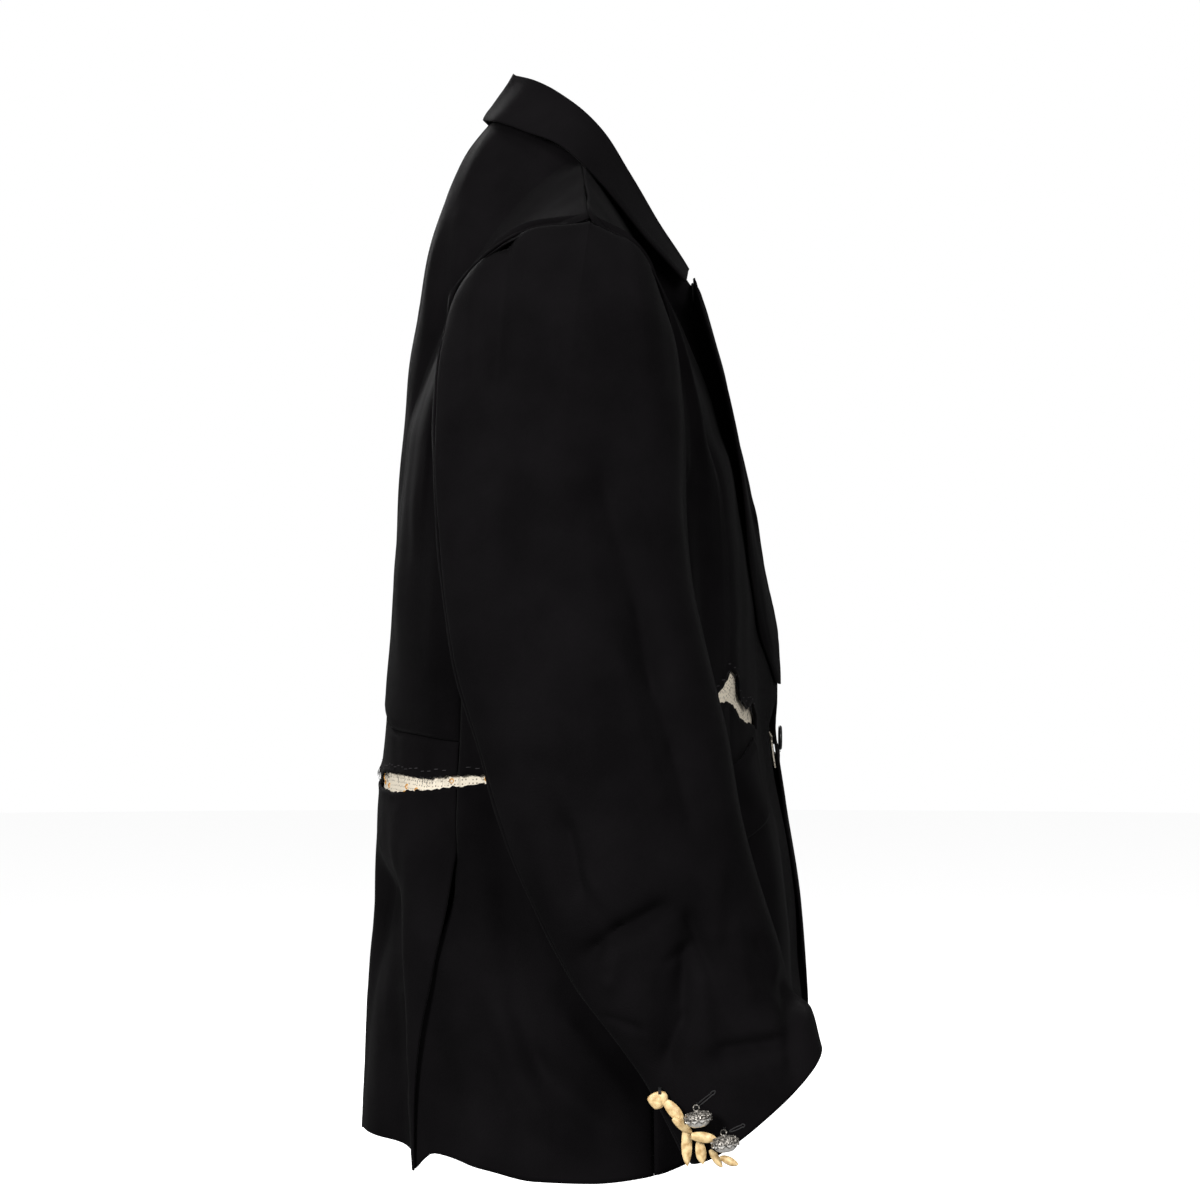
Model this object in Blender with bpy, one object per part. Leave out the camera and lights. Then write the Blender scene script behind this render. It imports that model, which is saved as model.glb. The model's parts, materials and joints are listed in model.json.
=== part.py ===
"""A long black wool blazer with peak lapels, torn open at the waist over eyelet cloth.

The jacket keeps the hollow form that it has when it is worn. +Z is up, the wearer faces -Y and
the wearer's right side is at -X. The origin is the middle of the neck's base, where the shoulders
carry the jacket. Tables below are in millimetres, and every object is built in metres.

Each cut piece is a wall: a grid of points on the garment's surface, the same grid moved along
the surface's normal by the cloth's thickness, and a rim that closes the two.
"""
import math
from collections import namedtuple

import bmesh
import bpy
import numpy as np
from mathutils import Matrix, Vector
from mathutils.bvhtree import BVHTree

MM = 0.001

# ---------------------------------------------------------------- driving dimensions, in mm
CLOTH = 1.6               # thickness of the wool wall, its inner face included
UNDER_CLOTH = 1.0         # thickness of the eyelet cloth behind the rips
SEAM_GAP = 0.5            # left open between two pieces at a seam
SLEEVE_SEAM_GAP = 0.7     # the same on the sleeves, whose seams lie on tighter curves
CHEST_LEVEL = -345.0      # height of the underarm points
SIDE_BACK_SEAM = 64.0     # degrees round from the centre back
SIDE_FRONT_SEAM = 104.0
LAP = 6.5                 # degrees that each front runs past the centre front
VENT_TOP = -556.0         # the side vents are open below this
KEEL_WIDTH = 46.0         # half width of the soft ridge down the centre front

# ---------------------------------------------------------------- the body, section by section
# z: height, half: half width, back: reach of the centre back, chest: reach of the flat of the
# front, keel: how far the centre front stands before that, square: how square the corners are.
Body = namedtuple("Body", "z half back chest keel square")
BODY = [
    Body(-345, 190, 142, 127, 13, 3.0),
    Body(-400, 191, 145, 130, 22, 3.0),
    Body(-445, 193, 147, 132, 20, 2.9),
    Body(-470, 195, 149, 134, 17, 2.8),
    Body(-523, 201, 154, 143, 16, 2.7),
    Body(-601, 211, 158, 156, 15, 2.5),
    Body(-679, 220, 164, 162, 14, 2.4),
    Body(-790, 227, 169, 166, 12, 2.3),
]

# ---------------------------------------------------------------- top edges of back and front
# turn: degrees round from the centre back at chest level, x y z: the edge there,
# lx ly lz: the direction in which the cloth leaves the edge, pull: the length of that tangent.
Edge = namedtuple("Edge", "turn x y z lx ly lz pull")
BACK_EDGE = [
    Edge(0, 0, 62, 12, 0.0, 0.76, -0.65, 280),
    Edge(8, -35, 52, 4, -0.10, 0.76, -0.65, 280),
    Edge(14, -62, 26, -14, -0.10, 0.81, -0.58, 290),
    Edge(19, -76, 0, -31, -0.05, 0.88, -0.47, 325),
    Edge(28, -118, -3, -48, 0.0, 0.90, -0.43, 320),
    Edge(39, -176, -5, -70, 0.05, 0.93, -0.36, 340),
    Edge(50, -235, -8, -93, 0.05, 0.97, -0.25, 360),
    Edge(53, -231, 32, -98, 0.35, 0.85, -0.38, 230),
    Edge(55.5, -222, 62, -113, 0.55, 0.65, -0.52, 170),
    Edge(58, -206, 86, -146, 0.55, 0.42, -0.72, 150),
    Edge(61, -196, 94, -200, 0.40, 0.15, -0.90, 130),
    Edge(64, -190, 88, -260, 0.18, 0.0, -0.98, 85),
    Edge(73, -186, 58, -318, 0.02, 0.0, -1.0, 27),
    Edge(88, -188, 5, -342, 0.0, 0.0, -1.0, 3),
]
FRONT_EDGE = [
    Edge(88, -188, 5, -342, 0.0, 0.0, -1.0, 3),
    Edge(104, -190, -50, -318, 0.0, 0.0, -1.0, 27),
    Edge(112, -196, -70, -262, 0.20, -0.05, -0.98, 85),
    Edge(117, -205, -68, -215, 0.50, -0.20, -0.84, 130),
    Edge(120, -216, -63, -165, 0.62, -0.25, -0.74, 175),
    Edge(123, -226, -54, -130, 0.50, -0.45, -0.74, 200),
    Edge(125.5, -232, -36, -108, 0.35, -0.58, -0.74, 230),
    Edge(128, -235, -8, -93, 0.10, -0.70, -0.70, 260),
    Edge(139, -176, -5, -70, 0.05, -0.66, -0.75, 270),
    Edge(150, -118, -3, -48, 0.02, -0.64, -0.77, 280),
    Edge(157, -76, 0, -33, 0.0, -0.62, -0.78, 290),
    Edge(161.5, -72, -42, -76, 0.0, -0.55, -0.83, 230),
    Edge(165.5, -57, -82, -124, 0.0, -0.32, -0.95, 200),
    Edge(168.5, -44, -99, -172, 0.0, -0.30, -0.95, 170),
    Edge(171, -38, -113, -232, 0.0, -0.42, -0.90, 110),
    Edge(172.2, -35, -123.5, -265, 0.0, -0.44, -0.9, 78),
    Edge(173.2, -32, -133, -297, 0.0, -0.45, -0.89, 48),
]
# Below chest level the front's edge is the roll of the lapel, and then the closed overlap.
Roll = namedtuple("Roll", "turn z")
ROLL = [Roll(173.2, -297), Roll(175.2, -352), Roll(177.0, -405), Roll(178.6, -446),
        Roll(180.0, -466), Roll(183.0, -471), Roll(188.0, -474)]

# ---------------------------------------------------------------- the hem
Hem = namedtuple("Hem", "turn z")
HEM = [Hem(0, -778), Hem(20, -769), Hem(38, -770), Hem(49, -776), Hem(55, -786),
       Hem(61, -772), Hem(72, -779), Hem(82, -787), Hem(92, -788),
       Hem(104, -783), Hem(112, -774), Hem(120, -765), Hem(130, -755), Hem(140, -745),
       Hem(150, -735), Hem(160, -723), Hem(168, -711), Hem(174, -700), Hem(180, -682),
       Hem(184, -660), Hem(188, -632)]

# ---------------------------------------------------------------- seams and rips
SeamRow = namedtuple("SeamRow", "turn z")
WAIST_GAP = 1.0
WAIST_SEAM = [SeamRow(0, -438), SeamRow(12, -444), SeamRow(24, -455), SeamRow(38, -464),
              SeamRow(52, -467), SeamRow(64, -471)]
# turn, then the torn edges above and below. The cloth is whole where open is 0.
Rip = namedtuple("Rip", "turn upper lower open")
BACK_RIP = [Rip(0, -507.0, -512.0, 0), Rip(3, -507.5, -511.5, 1), Rip(9, -498, -505, 1),
            Rip(15, -495, -506, 1), Rip(21, -498, -508, 1), Rip(27, -499, -510, 1),
            Rip(34, -496, -510, 1), Rip(41, -496, -511, 1), Rip(49, -497, -509, 1),
            Rip(56, -498, -507, 1), Rip(64, -495, -504, 1)]
SIDE_RIP = [Rip(64, -495, -504, 1), Rip(69, -494, -501, 1), Rip(74, -495.5, -500, 1),
            Rip(79, -496, -500, 0), Rip(104, -450, -454, 0)]
FRONT_RIP = [Rip(104, -450, -454, 0), Rip(107.5, -447.5, -452, 0),
             Rip(110, -446, -450.5, 0), Rip(117, -441, -446, 0),
             Rip(123, -435, -445, 1), Rip(125.5, -430, -443, 1), Rip(128, -419, -443, 1), Rip(131, -423, -448, 1),
             Rip(134, -440, -455, 1), Rip(139, -448, -460, 1), Rip(145, -444, -461, 1),
             Rip(150, -456, -466, 1), Rip(154, -464, -468, 0), Rip(165.5, -473, -477, 0),
             Rip(177, -480, -484, 0), Rip(188, -481, -485, 0)]
# The left front is torn further, past the centre front and almost to its edge.
LEFT_RIP = [Rip(104, -450, -454, 0), Rip(107.5, -447.5, -452, 0),
            Rip(110, -446, -450.5, 0), Rip(117, -441, -446, 0),
            Rip(123, -436, -445, 1), Rip(128, -430, -444, 1), Rip(131, -426, -447, 1), Rip(134, -440, -456, 1),
            Rip(139, -447, -461, 1), Rip(150, -453, -465, 1), Rip(157, -466, -475, 1),
            Rip(161.5, -471, -480, 1), Rip(168.5, -475, -484, 1), Rip(173.2, -477.5, -486.5, 1),
            Rip(177, -480, -487, 1), Rip(180, -482, -488, 1),
            Rip(183, -483, -487.5, 1), Rip(188, -484, -488, 0)]

# ---------------------------------------------------------------- folds
# A fold runs between two places of the side view; push is the height of its ridge, or the depth
# of its trough when it is below 0, and wide is its half width.
Fold = namedtuple("Fold", "y0 z0 y1 z1 wide push")
BACK_FOLDS = [
    Fold(150, -590, 137, -784, 15, -19),    # beside the centre back, deepest at the hem
    Fold(120, -560, 124, -784, 13, 7),      # the vent's corner rolls out
    Fold(118, -95, 128, -240, 13, 4),       # along the shoulder blade
    Fold(86, -78, 92, -142, 10, 5),         # stands up behind the armhole
]
SKIRT_FOLDS = [
    Fold(58, -590, 28, -706, 13, -9),       # behind the arm, from the vent down
    Fold(28, -706, -12, -742, 12, -8),
    Fold(76, -672, 38, -752, 12, -6),
    Fold(88, -640, 70, -770, 12, 5),
    Fold(6, -678, -30, -722, 9, 4),         # over the corner of the pocket bag
]
FRONT_FOLDS = [
    Fold(-52, -172, -70, -262, 9, 5),       # ridge beside the armhole
    Fold(-88, -300, -93, -392, 9, -4),
    Fold(-104, -262, -115, -420, 8, 3),     # along the dart
    Fold(-118, -520, -126, -575, 9, -6),    # under the flap
    Fold(-140, -540, -150, -660, 10, 4),
]
SLEEVE_FOLDS = [
    Fold(54, -112, 60, -200, 13, -5),       # down from the back of the cap
    Fold(-20, -290, -50, -410, 17, -7),     # long hollow before the elbow
    Fold(-50, -410, -82, -520, 17, -6),
    Fold(10, -530, 2, -572, 9, -6),         # breaks round the elbow
    Fold(-10, -614, -52, -588, 8, -6),
    Fold(-24, -612, -22, -634, 7, 5),
    Fold(-76, -620, -62, -690, 9, -7),
    Fold(-82, -598, -92, -624, 8, -5),
    Fold(-104, -688, -136, -682, 8, -5),
    Fold(-150, -640, -152, -690, 8, -7),    # dents the forearm behind the flared cuff
]

# ---------------------------------------------------------------- armhole and sleeve
# around: degrees round the sleeve, 0 at the shoulder, 90 at the front, 180 under the arm.
# turn: the armhole's place in the table of the front's edge, and then of the back's.
# lx ly lz: the direction in which the sleeve leaves it, pull: the length of that tangent.
Armhole = namedtuple("Armhole", "around turn lx ly lz pull")
FRONT_ARMHOLE = [
    Armhole(0, 128, -0.93, 0.0, -0.36, 150),
    Armhole(30, 125.5, -0.95, -0.15, -0.28, 130),
    Armhole(55, 123, -0.90, -0.35, -0.25, 105),
    Armhole(75, 120, -0.85, -0.60, -0.15, 85),
    Armhole(95, 117, -0.85, -0.58, -0.20, 70),
    Armhole(120, 112, -0.93, -0.25, -0.26, 55),
    Armhole(150, 104, -0.95, -0.05, -0.30, 26),
    Armhole(180, 88, -0.96, 0.0, -0.28, 16),
]
BACK_ARMHOLE = [
    Armhole(180, 88, -0.96, 0.0, -0.28, 16),
    Armhole(210, 73, -0.95, 0.10, -0.30, 26),
    Armhole(240, 64, -0.88, 0.38, -0.28, 55),
    Armhole(262, 61, -0.80, 0.55, -0.25, 75),
    Armhole(285, 58, -0.82, 0.52, -0.22, 95),
    Armhole(310, 55.5, -0.93, 0.30, -0.20, 120),
    Armhole(335, 53, -0.96, 0.10, -0.25, 140),
    Armhole(360, 50, -0.93, 0.0, -0.36, 150),
]
# Each section runs from a front point to a back point; cx: its middle from side to side,
# thick: half its thickness, lead: how far its outer side runs ahead down the arm.
Arm = namedtuple("Arm", "along fy fz by bz cx thick lead")
ARM = [
    Arm(0.00, -86, -372, 96, -372, -250, 48, 0),
    Arm(0.10, -95, -410, 89, -416, -252, 49, 0),
    Arm(0.22, -104, -452, 72, -472, -254, 49, 0),
    Arm(0.34, -110, -484, 60, -515, -256, 48, 0),
    Arm(0.46, -118, -524, 43, -562, -258, 46, 0),
    Arm(0.58, -129, -566, 22, -606, -260, 44, 0),
    Arm(0.70, -141, -608, -3, -650, -262, 42, 2),
    Arm(0.82, -153, -645, -27, -681, -264, 40, 6),
    Arm(0.91, -166, -657, -49, -712, -266, 38, 8),
    Arm(1.00, -172, -680, -76, -764, -268, 36, 12),
]
BACK_SLEEVE_SEAM = 281.0      # degrees round the sleeve
FRONT_SLEEVE_SEAM = 108.0
SLEEVE_START = 2.8            # the sleeve's rim stands this far off the armhole

# ---------------------------------------------------------------- collar and lapels
# part: 0 at the centre back, 1 at the front end; r: roll line, f: free edge, s: neck seam.
Collar = namedtuple("Collar", "part rx ry rz fx fy fz sx sy sz")
COLLAR = [
    Collar(0.00, 0, 51, 42, 0, 75, 7, 0, 57, 13),
    Collar(0.15, -35, 34, 33, -37, 66, 2, -33, 47, 5),
    Collar(0.27, -53, 17, 22, -66, 45, -8, -58, 23, -11),
    Collar(0.40, -63, -1, 8, -90, 17, -22, -71, -1, -25),
    Collar(0.52, -65, -19, -13, -99, -6, -42, -70, -20, -45),
    Collar(0.66, -63, -38, -42, -101, -29, -68, -67, -40, -66),
    Collar(0.83, -57, -59, -78, -99, -56, -101, -60, -61, -92),
    Collar(1.00, -50, -82, -114, -94, -80, -126, -51, -80, -117),
]
# r: roll line, e: free edge; stand: how far the middle stands up between them.
Lapel = namedtuple("Lapel", "rx ry rz ex ey ez stand")
LAPEL = [
    Lapel(-48, -86, -124, -117, -88, -125, 1),
    Lapel(-44, -96, -152, -114, -97, -158, 2),
    Lapel(-38, -109, -212, -105, -113, -214, 3),
    Lapel(-34, -120, -260, -97, -122, -262, 3),
    Lapel(-31, -129, -297, -89, -127, -296, 3),
    Lapel(-25, -141, -345, -75, -131, -342, 3),
    Lapel(-20, -149, -380, -61, -135, -378, 3),
    Lapel(-15, -153, -412, -42, -144, -409, 2),
    Lapel(-13, -152, -432, -24, -150, -431, 0),
]
NOTCH_DROP = 17.0         # depth of the notch between the collar's end and the peak
NOTCH_AT = 0.62           # its place across the lapel's top edge

# ---------------------------------------------------------------- materials
WOOL = ("black wool", (0.006, 0.0055, 0.0065), 0.9, 0.0)
EYELET = ("cream eyelet cloth", (0.62, 0.57, 0.48), 0.8, 0.0)
BONE = ("carved bone", (0.68, 0.50, 0.26), 0.45, 0.0)
SILVER = ("silver", (0.75, 0.73, 0.70), 0.3, 1.0)
HORN = ("black horn", (0.01, 0.01, 0.01), 0.35, 0.0)


def material(finish):
    """Return the Principled material of a (name, colour, roughness, metallic) finish."""
    name, colour, roughness, metallic = finish
    made = bpy.data.materials.get(name)
    if made is None:
        made = bpy.data.materials.new(name)
        made.use_nodes = True
        shader = made.node_tree.nodes["Principled BSDF"]
        shader.inputs["Base Color"].default_value = (*colour, 1.0)
        shader.inputs["Roughness"].default_value = roughness
        shader.inputs["Metallic"].default_value = metallic
    return made


# ---------------------------------------------------------------- reading the tables
def column(table, name):
    """One named column of a table as an array."""
    return np.array([getattr(row, name) for row in table], float)


def smooth(keys, values, at):
    """Read values at a place between their keys, on a curve that never overshoots them."""
    at = min(max(at, keys[0]), keys[-1])
    index = min(int(np.searchsorted(keys, at, side="right")) - 1, len(keys) - 2)
    step = np.diff(keys)
    slope = np.diff(values) / step
    tangent = np.zeros(len(keys))
    tangent[0] = slope[0]
    tangent[-1] = slope[-1]
    inner = np.where(slope[:-1] * slope[1:] > 0,
                     2 * slope[:-1] * slope[1:] / (slope[:-1] + slope[1:] + 1e-12), 0.0)
    tangent[1:-1] = inner
    part = (at - keys[index]) / step[index]
    h00 = (1 + 2 * part) * (1 - part) ** 2
    h10 = part * (1 - part) ** 2
    h01 = part ** 2 * (3 - 2 * part)
    h11 = part ** 2 * (part - 1)
    return (h00 * values[index] + h10 * step[index] * tangent[index]
            + h01 * values[index + 1] + h11 * step[index] * tangent[index + 1])


def read(table, key, name, at):
    """Read a named column of a table smoothly at a value of its key column."""
    keys = column(table, key)
    values = column(table, name)
    if keys[0] > keys[-1]:
        keys = keys[::-1]
        values = values[::-1]
    return smooth(keys, values, at)


def straight(table, key, name, at):
    """Read a named column with straight runs between its rows, as torn edges have."""
    return float(np.interp(at, column(table, key), column(table, name)))


def hermite(start, leave, end, arrive, part):
    """A point of the curve between two points with given tangents."""
    return ((1 + 2 * part) * (1 - part) ** 2 * start + part * (1 - part) ** 2 * leave
            + part ** 2 * (3 - 2 * part) * end + part ** 2 * (part - 1) * arrive)


def unit(vector):
    return vector / max(np.linalg.norm(vector), 1e-9)


# ---------------------------------------------------------------- surfaces
def section(turn, z):
    """The body's surface below chest level: an oval with soft corners and a centre ridge."""
    angle = math.radians(turn)
    half = read(BODY, "z", "half", z)
    square = read(BODY, "z", "square", z)
    reach = read(BODY, "z", "back" if math.cos(angle) > 0 else "chest", z)
    radius = (abs(math.sin(angle) / half) ** square
              + abs(math.cos(angle) / reach) ** square) ** (-1 / square)
    x = -radius * math.sin(angle)
    y = radius * math.cos(angle)
    if y < 0:
        y -= read(BODY, "z", "keel", z) * math.exp(-(x / KEEL_WIDTH) ** 2)
    return np.array([x, y, z])


def edge_point(table, turn, name_set=("x", "y", "z")):
    return np.array([read(table, "turn", name, turn) for name in name_set])


def upper(table, turn, part):
    """The cloth between a top edge (part 0) and chest level (part 1)."""
    start = edge_point(table, turn)
    leave = unit(edge_point(table, turn, ("lx", "ly", "lz"))) * read(table, "turn", "pull", turn)
    end = section(turn, CHEST_LEVEL)
    below = section(turn, CHEST_LEVEL - 6)
    drop = max(start[2] - CHEST_LEVEL, 3.0)
    arrive = unit(below - end) * drop * 1.05
    return hermite(start, leave, end, arrive, part)


def top_height(turn):
    """Height of the top edge of the back, side or front at a turn."""
    if turn <= 88:
        return read(BACK_EDGE, "turn", "z", turn)
    if turn <= 173.2:
        return read(FRONT_EDGE, "turn", "z", turn)
    return read(ROLL, "turn", "z", turn)


def body_point(turn, part, low_z):
    """A column of the body from its top edge (part 0) down to a height (part 1)."""
    high_z = top_height(turn)
    if high_z <= CHEST_LEVEL + 4:
        return section(turn, high_z + (low_z - high_z) * part)
    table = BACK_EDGE if turn < 88 else FRONT_EDGE
    share = (high_z - CHEST_LEVEL) / (high_z - low_z)
    if part < share:
        return upper(table, turn, part / share)
    return section(turn, CHEST_LEVEL + (low_z - CHEST_LEVEL) * (part - share) / (1 - share))


def fold_height(folds, y, z):
    """Sum of the folds' heights at a place of the side view."""
    total = 0.0
    for fold in folds:
        run_y, run_z = fold.y1 - fold.y0, fold.z1 - fold.z0
        long = math.hypot(run_y, run_z)
        along = ((y - fold.y0) * run_y + (z - fold.z0) * run_z) / long ** 2
        away = abs((y - fold.y0) * run_z - (z - fold.z0) * run_y) / long
        past = max(0.0, -along, along - 1) * long
        total += fold.push * math.exp(-(away / fold.wide) ** 2 - (past / (1.6 * fold.wide)) ** 2)
    return total


def normals(points):
    """Unit normals of a grid of points, from its two directions."""
    down = np.gradient(points, axis=0)
    across = np.gradient(points, axis=1)
    turned = np.cross(down, across)
    return turned / np.maximum(np.linalg.norm(turned, axis=2, keepdims=True), 1e-9)


# ---------------------------------------------------------------- walls
def wall(name, outer, inner, finish, keep=None, closed=False):
    """Close the space between two grids of points into one object.

    keep marks the cells that are cloth; the rest are gaps. A closed grid joins its last
    column to its first.
    """
    rows, cols = outer.shape[:2]
    spans = cols if closed else cols - 1
    if keep is None:
        keep = np.ones((rows - 1, spans), bool)
    mesh = bmesh.new()
    made = {}

    def vertex(side, row, col):
        key = (side, row, col % cols)
        if key not in made:
            grid = outer if side == 0 else inner
            made[key] = mesh.verts.new(grid[row, col % cols] * MM)
        return made[key]

    def is_cloth(row, col):
        if closed:
            col %= spans
        return 0 <= row < rows - 1 and 0 <= col < spans and keep[row, col]

    for row in range(rows - 1):
        for col in range(spans):
            if not keep[row, col]:
                continue
            corners = [(row, col), (row + 1, col), (row + 1, col + 1), (row, col + 1)]
            mesh.faces.new([vertex(0, *corner) for corner in corners])
            mesh.faces.new([vertex(1, *corner) for corner in reversed(corners)])
            sides = [((row - 1, col), 3, 0), ((row + 1, col), 1, 2),
                     ((row, col - 1), 0, 1), ((row, col + 1), 2, 3)]
            for (near_row, near_col), first, last in sides:
                if not is_cloth(near_row, near_col):
                    here, there = corners[first], corners[last]
                    mesh.faces.new([vertex(0, *there), vertex(0, *here),
                                    vertex(1, *here), vertex(1, *there)])
    return add_object(name, mesh, finish)


def add_object(name, mesh, finish):
    """Turn a bmesh into a named object whose faces point out."""
    bmesh.ops.recalc_face_normals(mesh, faces=mesh.faces)
    bmesh.ops.triangulate(mesh, faces=mesh.faces)
    data = bpy.data.meshes.new(name)
    mesh.to_mesh(data)
    mesh.free()
    data.materials.append(material(finish))
    data.shade_smooth()
    data.set_sharp_from_angle(angle=math.radians(50))
    made = bpy.data.objects.new(name, data)
    bpy.context.scene.collection.objects.link(made)
    return made


def mirrored(points):
    """The same points on the other side of the body."""
    return points * np.array([-1.0, 1.0, 1.0])


def thick(points, low, high):
    """Two grids at heights low and high over the points, on the side away from the body."""
    along = normals(points)
    middle = points.reshape(-1, 3).mean(axis=0)
    outward = points - np.array([0.0, 0.0, middle[2]])
    if (along * outward).sum() < 0:
        along = -along
    return points + along * high, points + along * low


def cloth_piece(name, points, finish=WOOL, low=0.0, high=CLOTH, keep=None, side="right"):
    """A wall over the points, on the right as given or mirrored to the left."""
    over, under = thick(points, low, high)
    if side == "left":
        over, under = mirrored(over), mirrored(under)
    return wall(name, over, under, finish, keep)


def spread(start, end, count):
    return np.linspace(start, end, count)


# ---------------------------------------------------------------- body panels
BODY_FOLDS = BACK_FOLDS + SKIRT_FOLDS + FRONT_FOLDS
CENTRE_CALM = (18.0, 52.0)    # folds fade out between these distances from the centre lines
EASE = 0.0009             # share of a column left off at a top edge, as its seam's gap
FRONT_SPACING = 6         # degrees between the columns of a front
UPPER_ROWS = 12
SKIRT_ROWS = 8
FRONT_TUCK = 5.0          # how far the right front lies behind the left, eyelet cloth between
UNDERLAP_DEPTH = 8.5      # how far the side panel lies behind the back's free edge


def step_up(value, start, end):
    """0 before start, 1 after end, and a smooth rise between them."""
    part = min(max((value - start) / (end - start), 0.0), 1.0)
    return part * part * (3 - 2 * part)


def folded(points, folds):
    """Push a grid of body points out by its folds."""
    along = normals(points)
    middle = np.array([0.0, 0.0, points[:, :, 2].mean()])
    if (along * (points - middle)).sum() < 0:
        along = -along
    heights = np.array([[fold_height(folds, p[1], p[2]) * step_up(abs(p[0]), *CENTRE_CALM)
                         for p in row] for row in points])
    return points + along * heights[:, :, None]


def vent_turn(z, edge, lowest, start=VENT_TOP):
    """The edge of a vent leaves the seam at its start and runs to its turn at the hem."""
    return edge + (lowest - edge) * step_up(-z, -start, 800.0) ** 0.6


def back_upper():
    """Half of the upper back: from the neck, shoulder and armhole to the waist seam."""
    grid = []
    back = math.degrees(SEAM_GAP / 2 / 190)
    for turn in rip_turns(BACK_EDGE, back, SIDE_BACK_SEAM - back, 6):
        low = read(WAIST_SEAM, "turn", "z", turn) + WAIST_GAP / 2
        grid.append([body_point(turn, part, low) for part in spread(EASE, 1, UPPER_ROWS + 2)])
    return folded(np.array(grid).transpose(1, 0, 2), BODY_FOLDS)


def slit(table, turns, rows_above, rows_all):
    """Mark the cells that are cloth, with those of the open rip left out."""
    keep = np.ones((rows_all - 1, len(turns) - 1), bool)
    opened = [straight(table, "turn", "open", turn) > 0.99 for turn in turns]
    for col in range(len(turns) - 1):
        if opened[col] and opened[col + 1]:
            keep[rows_above - 1, col] = False
    return keep


def rip_turns(table, start, end, spacing):
    """Columns at each row of a table, and evenly between the rows that are far apart."""
    marks = [start] + sorted({row.turn for row in table if start < row.turn < end}) + [end]
    turns = []
    for first, last in zip(marks[:-1], marks[1:]):
        count = max(1, int(round((last - first) / spacing)))
        turns += list(np.linspace(first, last, count, endpoint=False))
    return turns + [end]


def back_skirt():
    """Half of the lower back, with its rip and its free edge at the side vent."""
    back = math.degrees(SEAM_GAP / 2 / 190)
    turns = rip_turns(BACK_RIP, back, SIDE_BACK_SEAM - back, 5)
    grid = []
    for turn in turns:
        top = read(WAIST_SEAM, "turn", "z", turn) - WAIST_GAP / 2
        upper_z = straight(BACK_RIP, "turn", "upper", turn)
        lower_z = straight(BACK_RIP, "turn", "lower", turn)
        share = turn / SIDE_BACK_SEAM
        points = [section(turn, z) for z in spread(top, upper_z, 4)]
        for part in spread(0, 1, SKIRT_ROWS + 2):
            edge = vent_turn(lower_z + (-785 - lower_z) * part, SIDE_BACK_SEAM, 55)
            placed = turn + (edge - SIDE_BACK_SEAM) * share
            hem = read(HEM, "turn", "z", placed)
            points.append(section(placed, lower_z + (hem - lower_z) * part))
        grid.append(points)
    keep = slit(BACK_RIP, turns, 4, len(grid[0]))
    return folded(np.array(grid).transpose(1, 0, 2), BODY_FOLDS), keep


def side_panel():
    """The side panel: under the arm, with the rip's end and the vent's underlap."""
    back = math.degrees(SEAM_GAP / 2 / 190)
    turns = rip_turns(SIDE_RIP, SIDE_BACK_SEAM + back, SIDE_FRONT_SEAM - back, 5)
    grid = []
    for turn in turns:
        upper_z = straight(SIDE_RIP, "turn", "upper", turn)
        lower_z = straight(SIDE_RIP, "turn", "lower", turn)
        share = (SIDE_FRONT_SEAM - turn) / (SIDE_FRONT_SEAM - SIDE_BACK_SEAM)
        points = [body_point(turn, part, upper_z) for part in spread(EASE, 1, 6)]
        for part in spread(0, 1, SKIRT_ROWS + 2):
            level = lower_z + (-788 - lower_z) * part
            edge = vent_turn(level, SIDE_BACK_SEAM, 53, VENT_TOP - 30)
            placed = turn + (edge - SIDE_BACK_SEAM) * share ** 2
            hem = read(HEM, "turn", "z", placed)
            point = section(placed, lower_z + (hem - lower_z) * part)
            tuck = UNDERLAP_DEPTH * step_up(-level, -VENT_TOP - 24, -VENT_TOP + 50) * share ** 2
            inward = unit(np.array([point[0], point[1], 0.0]))
            points.append(point - inward * tuck)
        grid.append(points)
    keep = slit(SIDE_RIP, turns, 6, len(grid[0]))
    return folded(np.array(grid).transpose(1, 0, 2), SKIRT_FOLDS), keep


def front_panel(rip, tuck):
    """A front, from shoulder and armhole to the hem, up to its edge past the centre front.

    The front that is buttoned underneath is tucked in where the other lies over it.
    """
    back = math.degrees(SEAM_GAP / 2 / 190)
    end = 180.0 + LAP
    turns = rip_turns(rip + FRONT_EDGE + ROLL, SIDE_FRONT_SEAM + back, end, FRONT_SPACING)
    grid = []
    for turn in turns:
        upper_z = straight(rip, "turn", "upper", turn)
        lower_z = straight(rip, "turn", "lower", turn)
        hem = read(HEM, "turn", "z", turn)
        points = [body_point(turn, part, upper_z) for part in spread(EASE, 1, UPPER_ROWS)]
        points += [section(turn, z) for z in spread(lower_z, hem, SKIRT_ROWS)]
        inward = tuck * step_up(turn, 166.0, 177.0)
        for index, point in enumerate(points):
            share = step_up(-point[2], 440.0, 466.0)
            points[index] = point + np.array([0.0, inward * share, 0.0])
        grid.append(points)
    keep = slit(rip, turns, UPPER_ROWS, len(grid[0]))
    return folded(np.array(grid).transpose(1, 0, 2), BODY_FOLDS), keep


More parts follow.
